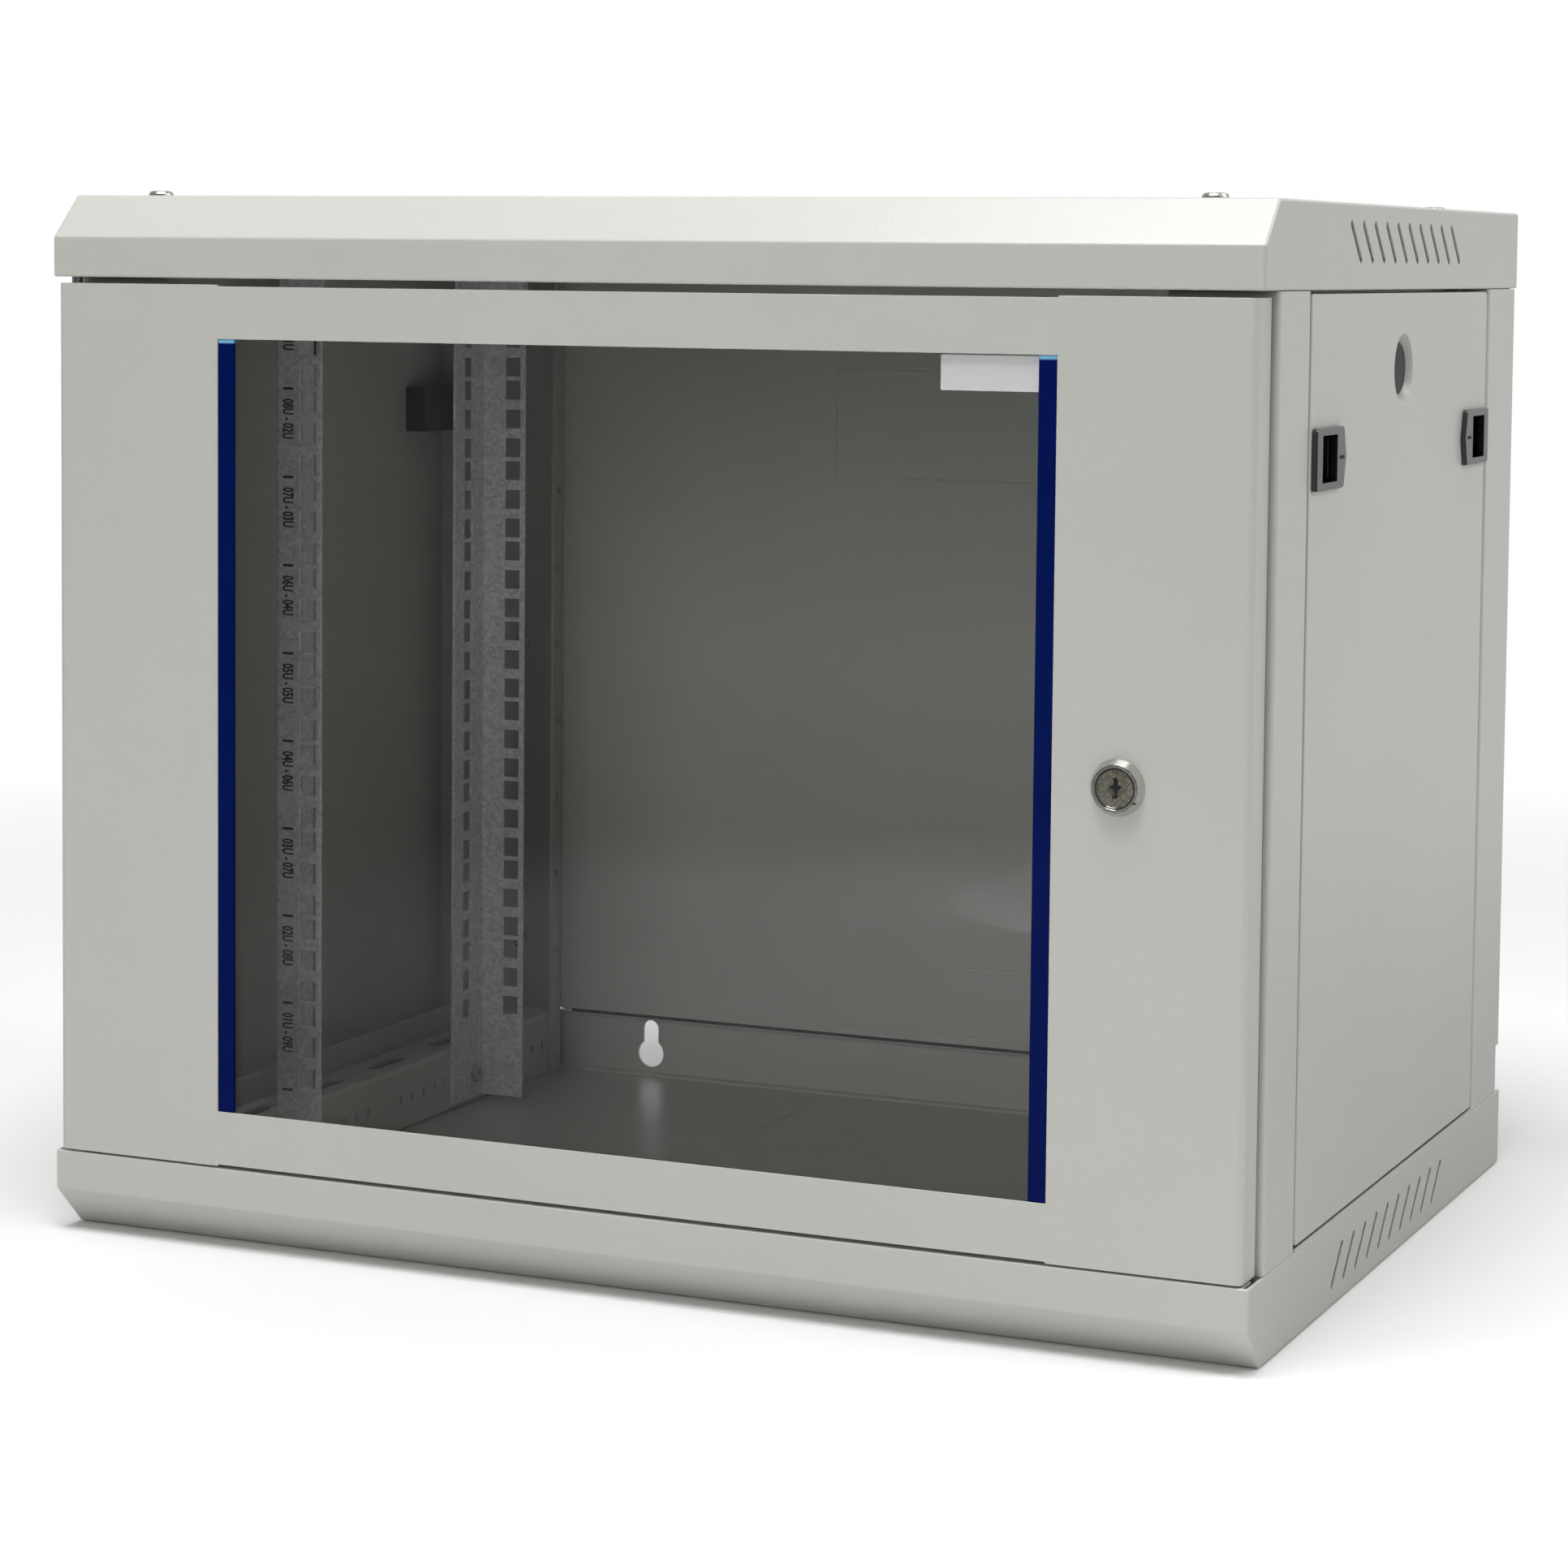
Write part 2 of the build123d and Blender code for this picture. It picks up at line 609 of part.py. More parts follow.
# clips that hold the glass against its gasket
clip = block(-clipReach, 6, glassBack, glassBack + clipSheet, -7, 7)
clip -= rod(0, glassBack - 1, 0, studRadius + 0.15, 4, "Y")
stud = rod(0, skinBack, 0, studRadius, glassBack - skinBack + clipSheet + 0.01, "Y")
stud += hexagon(0, glassBack + clipSheet, 0, 7.0, 3.2, "Y")
studX = glassX + studBeside
places = []
for z in (glassLow + clipFromEnd, glassHigh - clipFromEnd):
    places += [Pos(studX, 0, z), Pos(-studX, 0, z) * Rot(0, 180, 0)]
for x in (-glassX * 0.55, glassX * 0.55):
    places += [Pos(x, 0, glassHigh + studBeside) * Rot(0, -90, 0),
               Pos(x, 0, glassLow - studBeside) * Rot(0, 90, 0)]
save("glass_clips", Compound(children=[place * clip for place in places]))
save("clip_nuts", Compound(children=[place * stud for place in places]))

# lock: housing and nut in the door, plug with cam turning in it
bezelFront = front - bezelHeight
housing = taper(lockX, bezelFront, lockHeight, bezelFace, bezelRadius, bezelHeight, "Y")
housing += rod(lockX, front - 0.01, lockHeight, barrelRadius, doorDepth + 5.01, "Y")
housing -= rod(lockX, bezelFront - 1, lockHeight, plugHead + runningFit, bezelHeight + 2, "Y")
housing -= taper(lockX, bezelFront, lockHeight, plugHead + plugSink, plugHead + runningFit, plugSink, "Y")
housing -= rod(lockX, front - 1, lockHeight, plugShaft + runningFit, doorDepth + 10, "Y")
mark = Rot(0, -markAngle, 0) * Pos((bezelFace + bezelRadius) / 2 + 0.2, 0, 0) * Box(4.0, 2.4, 1.3)
housing -= Pos(lockX, bezelFront + 0.6, lockHeight) * mark
nut = hexagon(lockX, skinBack, lockHeight, 24.0, 4.0, "Y")
nut -= rod(lockX, skinBack - 1, lockHeight, barrelRadius + 0.05, 6, "Y")
plugFront = bezelFront + plugSink
plug = rod(lockX, plugFront, lockHeight, plugHead, front - plugFront + 0.6, "Y")
plug += rod(lockX, front, lockHeight, plugShaft, camFront - front, "Y")
square = camSquare / 2
plug += block(lockX - square, lockX + square, camFront - 0.01, camFront + camThickness, lockHeight - square,
              lockHeight + square)
guideHigh, guideWide = keyGuide[0] / 2, keyGuide[1] / 2
guideFace = outline([(lockX, lockHeight + guideHigh), (lockX - guideWide, lockHeight),
                     (lockX, lockHeight - guideHigh), (lockX + guideWide, lockHeight)])
plug -= run(guideFace, "Y", plugFront - 1, plugFront + 0.8)
slotHigh, slotWide = keySlot[0] / 2, keySlot[1] / 2
plug -= block(lockX - slotWide, lockX + slotWide, plugFront - 1, front + 1, lockHeight - slotHigh,
              lockHeight + slotHigh)
camFace = Pos(lockX, lockHeight + camLength / 2 - camWidth / 4) * Rot(0, 0, 90) * SlotOverall(
    camLength + camWidth / 2, camWidth)
cam = run(camFace, "Y", camFront, camFront + camThickness)
square = camSquare / 2 + 0.1
cam -= block(lockX - square, lockX + square, camFront - 1, camFront + camThickness + 1, lockHeight - square,
             lockHeight + square)
camScrew = hexagon(lockX, camFront + camThickness, lockHeight, 10.0, 2.0, "Y")
save("lock_housing", housing)
save("lock_nut", nut)
save("lock_plug", plug)
save("lock_cam", cam)
save("cam_screw", camScrew)

# upper hinge: a sprung pin in the door, lower hinge: a bearing plate over the fixed pin
guideLow = doorHigh - 24.0
guideTop = guideLow + 1.5
innerX = -doorEdge + doorSheet
guide = block(innerX, hingeX + 8, skinBack + 2, hingeY + 6, guideLow, guideTop)
guide += block(innerX, innerX + 1.4, skinBack + 2, hingeY + 6, guideTop - 0.01, guideTop + 13)
guide -= rod(hingeX, hingeY, guideLow - 1, pinRadius + runningFit, 4, "Z")
bearing = block(innerX + 2, hingeX + 8, skinBack, hingeY + 6, doorLow + doorSheet, doorLow + doorSheet + 2)
bearing -= rod(hingeX, hingeY, doorLow, pinRadius + runningFit, 6, "Z")
save("pin_guide", guide)
save("bearing_plate", bearing)

pinTop = highLow + bracketPlate - 0.2
collarLow = guideTop + 12.5
pin = rod(hingeX, hingeY, guideLow - 4, pinRadius, pinTop - guideLow + 4, "Z")
pin = chamfer([e for e in pin.edges() if abs(e.center().Z - pinTop) < 0.01], 0.8)
pin += rod(hingeX, hingeY, collarLow, 3.8, 2.0, "Z")
pin += rod(hingeX, hingeY, guideLow - 4, 2.0, 14.0, "X")
save("hinge_pin", pin)
coil = 3.25
springLow = guideTop + springWire
springHigh = collarLow - 0.3 - springWire
path = Helix((springHigh - springLow) / springTurns, springHigh - springLow, coil)
profile = Plane(origin=path @ 0, z_dir=path % 0) * RegularPolygon(springWire, 4)
spring = Pos(hingeX, hingeY, springLow) * sweep(profile, path=path, is_frenet=True)
save("hinge_spring", spring)


# side panels: lift-off pans with a plugged lock dish
def latchOuter(extra):
    # outline of the latch body in the panel, front right latch
    return (panelFront + latchBodyInset - extra, panelFront + latchBodyInset + latchBodyLength + extra,
            latchHeight - latchBody / 2 - extra, latchHeight + latchBody / 2 + extra)


panel = block(panelBackX, halfWidth, panelFront, panelRear, panelLow, panelHigh)
panel = fillet([e for e in panel.edges().filter_by(Axis.X)], 3.0)
panel = fillet([e for e in panel.edges() if abs(e.center().X - halfWidth) < 0.01], 0.9)
cavity = block(panelBackX - 1, halfWidth - panelSheet, panelFront + panelSheet, panelRear - panelSheet,
               panelLow + panelSheet, panelHigh - panelSheet)
cavity = fillet([e for e in cavity.edges().filter_by(Axis.X)], 2.0)
panel -= cavity
dishX = halfWidth - dishDepth
panel += taper(dishX - panelSheet, 0, dishHeight, dishFloor + 1, dishRadius + 1, dishDepth, "X")
panel -= taper(dishX, 0, dishHeight, dishFloor, dishRadius, dishDepth, "X")
panel -= rod(dishX - 3, 0, dishHeight, 11.0, 5, "X")
bodyFront, bodyRear, bodyLow, bodyHigh = latchOuter(0.1)
for flip in (False, True):
    hole = block(panelBackX, halfWidth + 1, bodyFront, bodyRear, bodyLow, bodyHigh)
    slot = block(tongueInner - 0.6, tongueOuter + 0.6, panelFront - 1, panelFront + 2,
                 latchSlotLow + 0.4, latchSlotHigh - 0.4)
    cut = hole + slot
    panel -= behind(cut, panelMiddle) if flip else cut
save("side_panel_right", panel)
save("side_panel_left", left(panel))
cap = rod(dishX, 0, dishHeight, dishFloor - 0.3, 1.2, "X")
cap = chamfer([e for e in cap.edges() if abs(e.center().X - dishX - 1.2) < 0.01], 0.5)
cap += rod(dishX - panelSheet - 1.5, 0, dishHeight, 10.9, panelSheet + 1.51, "X")
cap += rod(dishX - panelSheet - 1.5, 0, dishHeight, 12.4, 1.5, "X")
save("panel_plug_right", cap)
save("panel_plug_left", left(cap))

# slide latches
edgeY = panelFront + latchInset
faceOutline = outline([(edgeY, latchLow), (edgeY + latchLength, latchLow),
                       (edgeY + latchLength + latchPoint, latchHeight),
                       (edgeY + latchLength, latchHigh), (edgeY, latchHigh)])
faceOutline = fillet(faceOutline.vertices(), 2.0)
bodyFront, bodyRear, bodyLow, bodyHigh = latchOuter(0)
bodyBack = panelBackX + 1.2
latch = run(faceOutline, "X", halfWidth, halfWidth + latchThickness)
rim = [e for e in latch.edges() if abs(e.center().X - halfWidth - latchThickness) < 0.01]
latch = chamfer(rim, 0.6)
latch += block(bodyBack, halfWidth + 0.01, bodyFront, bodyRear, bodyLow, bodyHigh)
openFront = bodyFront + 6.2
openRear = bodyRear - 8.5
latch -= block(bodyBack + 1.2, halfWidth - 0.5, bodyFront + latchWall, bodyRear - latchWall,
               bodyLow + latchWall, bodyHigh - latchWall)
latch -= block(halfWidth - 1, halfWidth + 4, openFront, openRear, bodyLow + 1.9, bodyHigh - 1.9)
latch -= block(tongueInner - 0.4, tongueOuter + 0.4, bodyFront - 1, bodyFront + latchWall + 1,
               latchSlotLow + 0.6, latchSlotHigh - 0.6)
latch -= block(halfWidth + latchThickness - 0.6, halfWidth + latchThickness + 1, openRear + 3,
               openRear + 11, latchHeight - 0.75, latchHeight + 0.75)
save("latch_housing_front_right", latch)
save("latch_housing_front_left", left(latch))
save("latch_housing_rear_right", behind(latch, panelMiddle))
save("latch_housing_rear_left", left(behind(latch, panelMiddle)))


def slider(gap):
    # gap: panel edge to post, which sets how far the tongue reaches
    startY = bodyFront + latchWall + latchTravel + 0.5
    endY = bodyRear - latchWall - 0.5
    body = block(tongueInner, tongueInner + 2, startY, endY, bodyLow + 3.1, bodyHigh - 3.1)
    body += block(tongueInner + 1.99, halfWidth - 1, openRear - 3.5, openRear - 1.0, bodyLow + 3.1,
                  bodyHigh - 3.1)
    body += block(tongueInner, tongueOuter, panelFront - gap + tongueGap, startY + 2,
                  latchHeight - 6, latchHeight + 6)
    return body


frontSlider = slider(panelFrontGap)
rearSlider = behind(slider(panelRearGap), panelMiddle)
save("latch_slider_front_right", frontSlider)
save("latch_slider_front_left", left(frontSlider))
save("latch_slider_rear_right", rearSlider)
save("latch_slider_rear_left", left(rearSlider))
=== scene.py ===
import json
import math
import bmesh
import bpy
from mathutils import Matrix, Vector


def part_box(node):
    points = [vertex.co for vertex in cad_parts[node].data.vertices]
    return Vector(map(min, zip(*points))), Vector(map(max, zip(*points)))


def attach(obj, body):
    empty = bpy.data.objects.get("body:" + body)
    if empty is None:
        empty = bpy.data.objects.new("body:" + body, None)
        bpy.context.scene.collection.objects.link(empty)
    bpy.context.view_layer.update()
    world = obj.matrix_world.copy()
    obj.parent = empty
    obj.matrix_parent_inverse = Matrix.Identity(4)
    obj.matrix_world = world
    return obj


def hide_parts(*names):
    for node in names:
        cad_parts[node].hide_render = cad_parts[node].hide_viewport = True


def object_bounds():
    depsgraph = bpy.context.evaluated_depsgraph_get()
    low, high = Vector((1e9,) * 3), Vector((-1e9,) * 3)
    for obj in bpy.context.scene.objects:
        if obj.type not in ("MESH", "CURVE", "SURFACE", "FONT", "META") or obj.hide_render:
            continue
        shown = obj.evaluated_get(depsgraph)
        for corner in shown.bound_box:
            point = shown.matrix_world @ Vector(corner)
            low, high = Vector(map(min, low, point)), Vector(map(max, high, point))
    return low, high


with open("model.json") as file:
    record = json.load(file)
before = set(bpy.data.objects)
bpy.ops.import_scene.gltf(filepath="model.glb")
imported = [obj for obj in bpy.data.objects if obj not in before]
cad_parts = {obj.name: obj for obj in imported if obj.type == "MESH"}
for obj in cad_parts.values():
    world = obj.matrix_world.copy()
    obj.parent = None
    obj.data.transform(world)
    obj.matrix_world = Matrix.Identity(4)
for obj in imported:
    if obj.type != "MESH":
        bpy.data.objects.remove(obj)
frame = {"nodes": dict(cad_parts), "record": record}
cadLow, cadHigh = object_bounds()
nodes = frame["nodes"]
print("frame loaded:", len(nodes), "nodes")


# small helpers for node trees
def fill(tree, socket, value):
    # a number stays a number, a socket becomes a link
    if isinstance(value, bpy.types.NodeSocket):
        tree.links.new(value, socket)
    else:
        socket.default_value = value


def place(tree, kind, **values):
    node = tree.nodes.new(kind)
    for name, value in values.items():
        setattr(node, name, value)
    return node


def feed(tree, node, **values):
    for name, value in values.items():
        fill(tree, node.inputs[name.replace("_", " ")], value)
    return node


def sums(tree, operation, a, b, clamp=False):
    node = place(tree, "ShaderNodeMath", operation=operation, use_clamp=clamp)
    fill(tree, node.inputs[0], a)
    fill(tree, node.inputs[1], b)
    return node.outputs[0]


def spread(tree, value, fromLow, fromHigh, toLow, toHigh):
    node = place(tree, "ShaderNodeMapRange")
    fill(tree, node.inputs["Value"], value)
    fill(tree, node.inputs["From Min"], fromLow)
    fill(tree, node.inputs["From Max"], fromHigh)
    fill(tree, node.inputs["To Min"], toLow)
    fill(tree, node.inputs["To Max"], toHigh)
    return node.outputs["Result"]


def tint(tree, factor, first, second):
    node = place(tree, "ShaderNodeMix", data_type="RGBA")
    fill(tree, node.inputs["Factor"], factor)
    fill(tree, node.inputs["A"], first)
    fill(tree, node.inputs["B"], second)
    return node.outputs["Result"]


def blend(tree, a, b, share):
    # a times its share plus b times the rest
    return sums(tree, "ADD", sums(tree, "MULTIPLY", a, share), sums(tree, "MULTIPLY", b, 1 - share))


# most of a noise texture lies between these values
noiseLow, noiseHigh = 0.3, 0.7


def noise(tree, point, scale, detail, **values):
    return feed(tree, place(tree, "ShaderNodeTexNoise"), Vector=point, Scale=scale, Detail=detail, **values)


def newGroup(name, inputs, outputs):
    tree = bpy.data.node_groups.new(name, "ShaderNodeTree")
    for label, default in inputs:
        socket = tree.interface.new_socket(name=label, in_out="INPUT", socket_type="NodeSocketFloat")
        socket.default_value = default
    for label in outputs:
        tree.interface.new_socket(name=label, in_out="OUTPUT", socket_type="NodeSocketFloat")
    return tree, place(tree, "NodeGroupInput"), place(tree, "NodeGroupOutput")


def objectPoint(tree):
    return place(tree, "ShaderNodeTexCoord").outputs["Object"]


# orange peel of a powder coat: soft lumps about a millimetre and a half wide, with finer grit on top
peelLook = {
    "lumpsDetail": 1.0, "gritDetail": 2.0, "gritShare": 0.28, "gritLow": 0.35, "gritHigh": 0.65,
    "cloudScale": 7.0, "cloudDetail": 4.0, "cloudShare": 0.6,
}


def makeOrangePeel():
    look = peelLook
    tree, given, out = newGroup("orangePeel", [("Lumps", 640.0), ("Grit", 2600.0)], ["Height", "Tone"])
    point = objectPoint(tree)
    lumps = noise(tree, point, given.outputs["Lumps"], look["lumpsDetail"]).outputs["Fac"]
    grit = noise(tree, point, given.outputs["Grit"], look["gritDetail"]).outputs["Fac"]
    cloud = noise(tree, point, look["cloudScale"], look["cloudDetail"]).outputs["Fac"]
    height = sums(tree, "ADD", lumps, sums(tree, "MULTIPLY", grit, look["gritShare"]))
    tree.links.new(height, out.inputs["Height"])
    fine = spread(tree, grit, look["gritLow"], look["gritHigh"], 0.0, 1.0)
    tree.links.new(blend(tree, cloud, fine, look["cloudShare"]), out.inputs["Tone"])
    return tree


# rubbed and lit sheet edges: how far the softened normal leans from the true one; this mask lightens the
# edges, partly as wear and partly as a painted highlight
bevelSamples = 6


def makeEdgeWearAndHighlight():
    tree, given, out = newGroup("edgeWearAndHighlight", [("Radius", 0.0006), ("Strength", 6.0)], ["Mask"])
    soft = feed(tree, place(tree, "ShaderNodeBevel", samples=bevelSamples), Radius=given.outputs["Radius"])
    true = place(tree, "ShaderNodeNewGeometry").outputs["Normal"]
    dot = place(tree, "ShaderNodeVectorMath", operation="DOT_PRODUCT")
    tree.links.new(soft.outputs["Normal"], dot.inputs[0])
    tree.links.new(true, dot.inputs[1])
    lean = sums(tree, "SUBTRACT", 1.0, dot.outputs["Value"])
    tree.links.new(sums(tree, "MULTIPLY", lean, given.outputs["Strength"], clamp=True), out.inputs["Mask"])
    return tree


# finger marks and wiped patches: only for roughness
handlingLook = {
    "broadDetail": 5.0, "broadRoughness": 0.62, "broadBend": 0.6, "broadShare": 1.4,
    "wipedStretch": (1.0, 1.0, 0.2), "wipedScale": 60.0, "wipedDetail": 3.0, "wipedShare": 0.6,
}


def makeHandling():
    look = handlingLook
    tree, given, out = newGroup("handling", [("Size", 9.0), ("Amount", 0.06)], ["Rough"])
    point = objectPoint(tree)
    broad = noise(tree, point, given.outputs["Size"], look["broadDetail"],
                  Roughness=look["broadRoughness"], Distortion=look["broadBend"])
    streak = feed(tree, place(tree, "ShaderNodeMapping"), Vector=point, Scale=look["wipedStretch"])
    wiped = noise(tree, streak.outputs["Vector"], look["wipedScale"], look["wipedDetail"])
    mixed = sums(tree, "ADD", sums(tree, "MULTIPLY", broad.outputs["Fac"], look["broadShare"]),
                 sums(tree, "MULTIPLY", wiped.outputs["Fac"], look["wipedShare"]))
    around = sums(tree, "SUBTRACT", mixed, 1.0)
    tree.links.new(sums(tree, "MULTIPLY", around, given.outputs["Amount"]), out.inputs["Rough"])
    return tree


# zinc crystals on hot-dip galvanised sheet
spangleLook = {
    "warpScale": 600.0, "warpDetail": 3.0, "warpReach": 0.0015, "speckScale": 900.0, "speckDetail": 3.0,
    "crystalShare": 0.7, "seam": 0.05,
}


def makeSpangle():
    look = spangleLook
    tree, given, out = newGroup("spangle", [("Crystals", 150.0)], ["Tone", "Rough", "Height"])
    point = objectPoint(tree)
    warp = noise(tree, point, look["warpScale"], look["warpDetail"])
    bend = place(tree, "ShaderNodeVectorMath", operation="MULTIPLY_ADD")
    tree.links.new(warp.outputs["Color"], bend.inputs[0])
    bend.inputs[1].default_value = [look["warpReach"]] * 3
    tree.links.new(point, bend.inputs[2])
    bent, size = bend.outputs["Vector"], given.outputs["Crystals"]
    cells = feed(tree, place(tree, "ShaderNodeTexVoronoi"), Vector=bent, Scale=size)
    edges = feed(tree, place(tree, "ShaderNodeTexVoronoi", feature="DISTANCE_TO_EDGE"), Vector=bent,
                 Scale=size)
    apart = place(tree, "ShaderNodeSeparateColor")
    tree.links.new(cells.outputs["Color"], apart.inputs["Color"])
    speck = noise(tree, point, look["speckScale"], look["speckDetail"]).outputs["Fac"]
    tree.links.new(blend(tree, apart.outputs["Red"], speck, look["crystalShare"]), out.inputs["Tone"])
    tree.links.new(apart.outputs["Green"], out.inputs["Rough"])
    tree.links.new(spread(tree, edges.outputs["Distance"], 0.0, look["seam"], 0.0, 1.0), out.inputs["Height"])
    return tree


# drawn or turned metal: fine scratches stretched along one direction
scratchLook = {"detail": 4.0}


def makeScratch():
    tree, given, out = newGroup("scratch", [("Across", 1800.0), ("Along", 60.0)], ["Height", "Tone"])
    across, along = given.outputs["Across"], given.outputs["Along"]
    scale = feed(tree, place(tree, "ShaderNodeCombineXYZ"), X=across, Y=along, Z=across)
    stretched = place(tree, "ShaderNodeVectorMath", operation="MULTIPLY")
    tree.links.new(objectPoint(tree), stretched.inputs[0])
    tree.links.new(scale.outputs["Vector"], stretched.inputs[1])
    lines = noise(tree, stretched.outputs["Vector"], 1.0, scratchLook["detail"]).outputs["Fac"]
    tree.links.new(lines, out.inputs["Height"])
    tree.links.new(spread(tree, lines, noiseLow, noiseHigh, 0.0, 1.0), out.inputs["Tone"])
    return tree


# fine spark texture of moulded plastic
mouldLook = {"hazeScale": 140.0, "hazeDetail": 4.0}


def makeMouldGrain():
    tree, given, out = newGroup("mouldGrain", [("Grain", 2400.0)], ["Height", "Tone"])
    point = objectPoint(tree)
    pits = feed(tree, place(tree, "ShaderNodeTexVoronoi", feature="SMOOTH_F1"), Vector=point,
                Scale=given.outputs["Grain"])
    tree.links.new(pits.outputs["Distance"], out.inputs["Height"])
    haze = noise(tree, point, mouldLook["hazeScale"], mouldLook["hazeDetail"])
    tree.links.new(haze.outputs["Fac"], out.inputs["Tone"])
    return tree


groups = {
    "peel": makeOrangePeel(),
    "wearAndHighlight": makeEdgeWearAndHighlight(),
    "handling": makeHandling(),
    "spangle": makeSpangle(),
    "scratch": makeScratch(),
    "grain": makeMouldGrain(),
}


def useGroup(tree, key, **values):
    node = place(tree, "ShaderNodeGroup", node_tree=groups[key])
    return feed(tree, node, **values).outputs


def newMaterial(name):
    material = bpy.data.materials.new(name)
    material.use_nodes = True
    tree = material.node_tree
    shader = tree.nodes["Principled BSDF"]
    return material, tree, shader


def softNormal(tree, shader, height, look):
    # a bump over a slightly rounded edge
    rounded = feed(tree, place(tree, "ShaderNodeBevel", samples=bevelSamples), Radius=look["roundRadius"])
    bump = feed(tree, place(tree, "ShaderNodeBump"), Height=height, Strength=look["bump"],
                Distance=look["bumpDepth"], Normal=rounded.outputs["Normal"])
    tree.links.new(bump.outputs["Normal"], shader.inputs["Normal"])


# lightens the base colour at the edges: partly wear, partly a painted highlight where light catches the edges
def wornAndLitEdges(tree, shader, base, wornAndLit, look):
    wearAndHighlight = useGroup(tree, "wearAndHighlight", Radius=look["edgeMaskRadius"], Strength=look["edgeMaskStrength"])
    wornAndLitAmount = sums(tree, "MULTIPLY", wearAndHighlight["Mask"], look["wearAndHighlightShare"])
    tree.links.new(tint(tree, wornAndLitAmount, base, wornAndLit), shader.inputs["Base Color"])


def handledGloss(tree, shader, look):
    marks = useGroup(tree, "handling", Size=look["marks"], Amount=look["marksAmount"])
    rough = sums(tree, "ADD", marks["Rough"], look["roughness"], clamp=True)
    tree.links.new(rough, shader.inputs["Roughness"])


# light grey powder coat
paintLook = {
    "dark": (0.475, 0.480, 0.445, 1), "light": (0.535, 0.540, 0.505, 1), "wornAndLit": (0.66, 0.665, 0.63, 1),
    "edgeMaskRadius": 0.0009, "edgeMaskStrength": 5.0, "wearAndHighlightShare": 0.55, "lumps": 640.0, "grit": 2600.0,
    "roughness": 0.30, "marks": 8.0, "marksAmount": 0.035, "bump": 0.30, "bumpDepth": 0.00020,
    "roundRadius": 0.0007, "ior": 1.5,
}


def makePaint():
    look = paintLook
    material, tree, shader = newMaterial("lightGreyPowderCoat")
    peel = useGroup(tree, "peel", Lumps=look["lumps"], Grit=look["grit"])
    wornAndLitEdges(tree, shader, tint(tree, peel["Tone"], look["dark"], look["light"]), look["wornAndLit"], look)
    handledGloss(tree, shader, look)
    shader.inputs["IOR"].default_value = look["ior"]
    softNormal(tree, shader, peel["Height"], look)
    return material


# galvanised rack rails
# the sheet's cut edges are lightened almost to white: mostly a painted highlight, with some wear
zincLook = {
    "dark": (0.56, 0.56, 0.57, 1), "light": (0.94, 0.94, 0.95, 1), "wornAndLit": (0.96, 0.96, 0.97, 1),
    "edgeMaskRadius": 0.0009, "edgeMaskStrength": 5.0, "wearAndHighlightShare": 1.0, "crystals": 520.0, "roughLow": 0.34,
    "roughHigh": 0.58, "metallic": 0.30, "bump": 0.15, "bumpDepth": 0.00008, "roundRadius": 0.0005,
}


def makeGalvanised():
    look = zincLook
    material, tree, shader = newMaterial("galvanisedSheet")
    spangle = useGroup(tree, "spangle", Crystals=look["crystals"])
    wornAndLitEdges(tree, shader, tint(tree, spangle["Tone"], look["dark"], look["light"]), look["wornAndLit"], look)
    rough = spread(tree, spangle["Rough"], 0.0, 1.0, look["roughLow"], look["roughHigh"])
    tree.links.new(rough, shader.inputs["Roughness"])
    shader.inputs["Metallic"].default_value = look["metallic"]
    softNormal(tree, shader, spangle["Height"], look)
    return material


# plated, drawn and turned metal parts, by slot
metalLook = {
    "zinc_fastener": {
        "name": "zincPlatedScrews", "dark": (0.42, 0.42, 0.41, 1), "light": (0.66, 0.66, 0.64, 1),
        "roughLow": 0.2, "roughHigh": 0.36, "across": 900.0, "along": 900.0,
    },
    "zinc_hardware": {
        "name": "zincPlatedStampings", "dark": (0.36, 0.37, 0.38, 1), "light": (0.55, 0.56, 0.57, 1),
        "roughLow": 0.3, "roughHigh": 0.46, "across": 1400.0, "along": 90.0,
    },
    "spring_steel": {
        "name": "drawnSpringWire", "dark": (0.12, 0.12, 0.12, 1), "light": (0.30, 0.30, 0.31, 1),
        "roughLow": 0.25, "roughHigh": 0.4, "across": 2600.0, "along": 2600.0,
    },
    "lock_chrome": {
        "name": "turnedNickel", "dark": (0.55, 0.54, 0.50, 1), "light": (0.80, 0.79, 0.76, 1),
        "roughLow": 0.12, "roughHigh": 0.24, "across": 1200.0, "along": 1200.0,
    },
    "lock_brass": {
        "name": "turnedNickelBrass", "dark": (0.26, 0.24, 0.18, 1), "light": (0.56, 0.53, 0.42, 1),
        "roughLow": 0.20, "roughHigh": 0.34, "across": 1600.0, "along": 1600.0,
    },
}
metalWear = {
    "wornAndLit": (0.8, 0.8, 0.79, 1), "edgeMaskRadius": 0.0004, "edgeMaskStrength": 4.0, "wearAndHighlightShare": 0.4, "bump": 0.12,
    "bumpDepth": 0.00005, "roundRadius": 0.0003,
}


def makeMetal(look):
    material, tree, shader = newMaterial(look["name"])
    scratch = useGroup(tree, "scratch", Across=look["across"], Along=look["along"])
    base = tint(tree, scratch["Tone"], look["dark"], look["light"])
    wornAndLitEdges(tree, shader, base, metalWear["wornAndLit"], metalWear)
    rough = spread(tree, scratch["Tone"], 0.0, 1.0, look["roughLow"], look["roughHigh"])
    tree.links.new(rough, shader.inputs["Roughness"])
    shader.inputs["Metallic"].default_value = 1.0
    softNormal(tree, shader, scratch["Height"], metalWear)
    return material


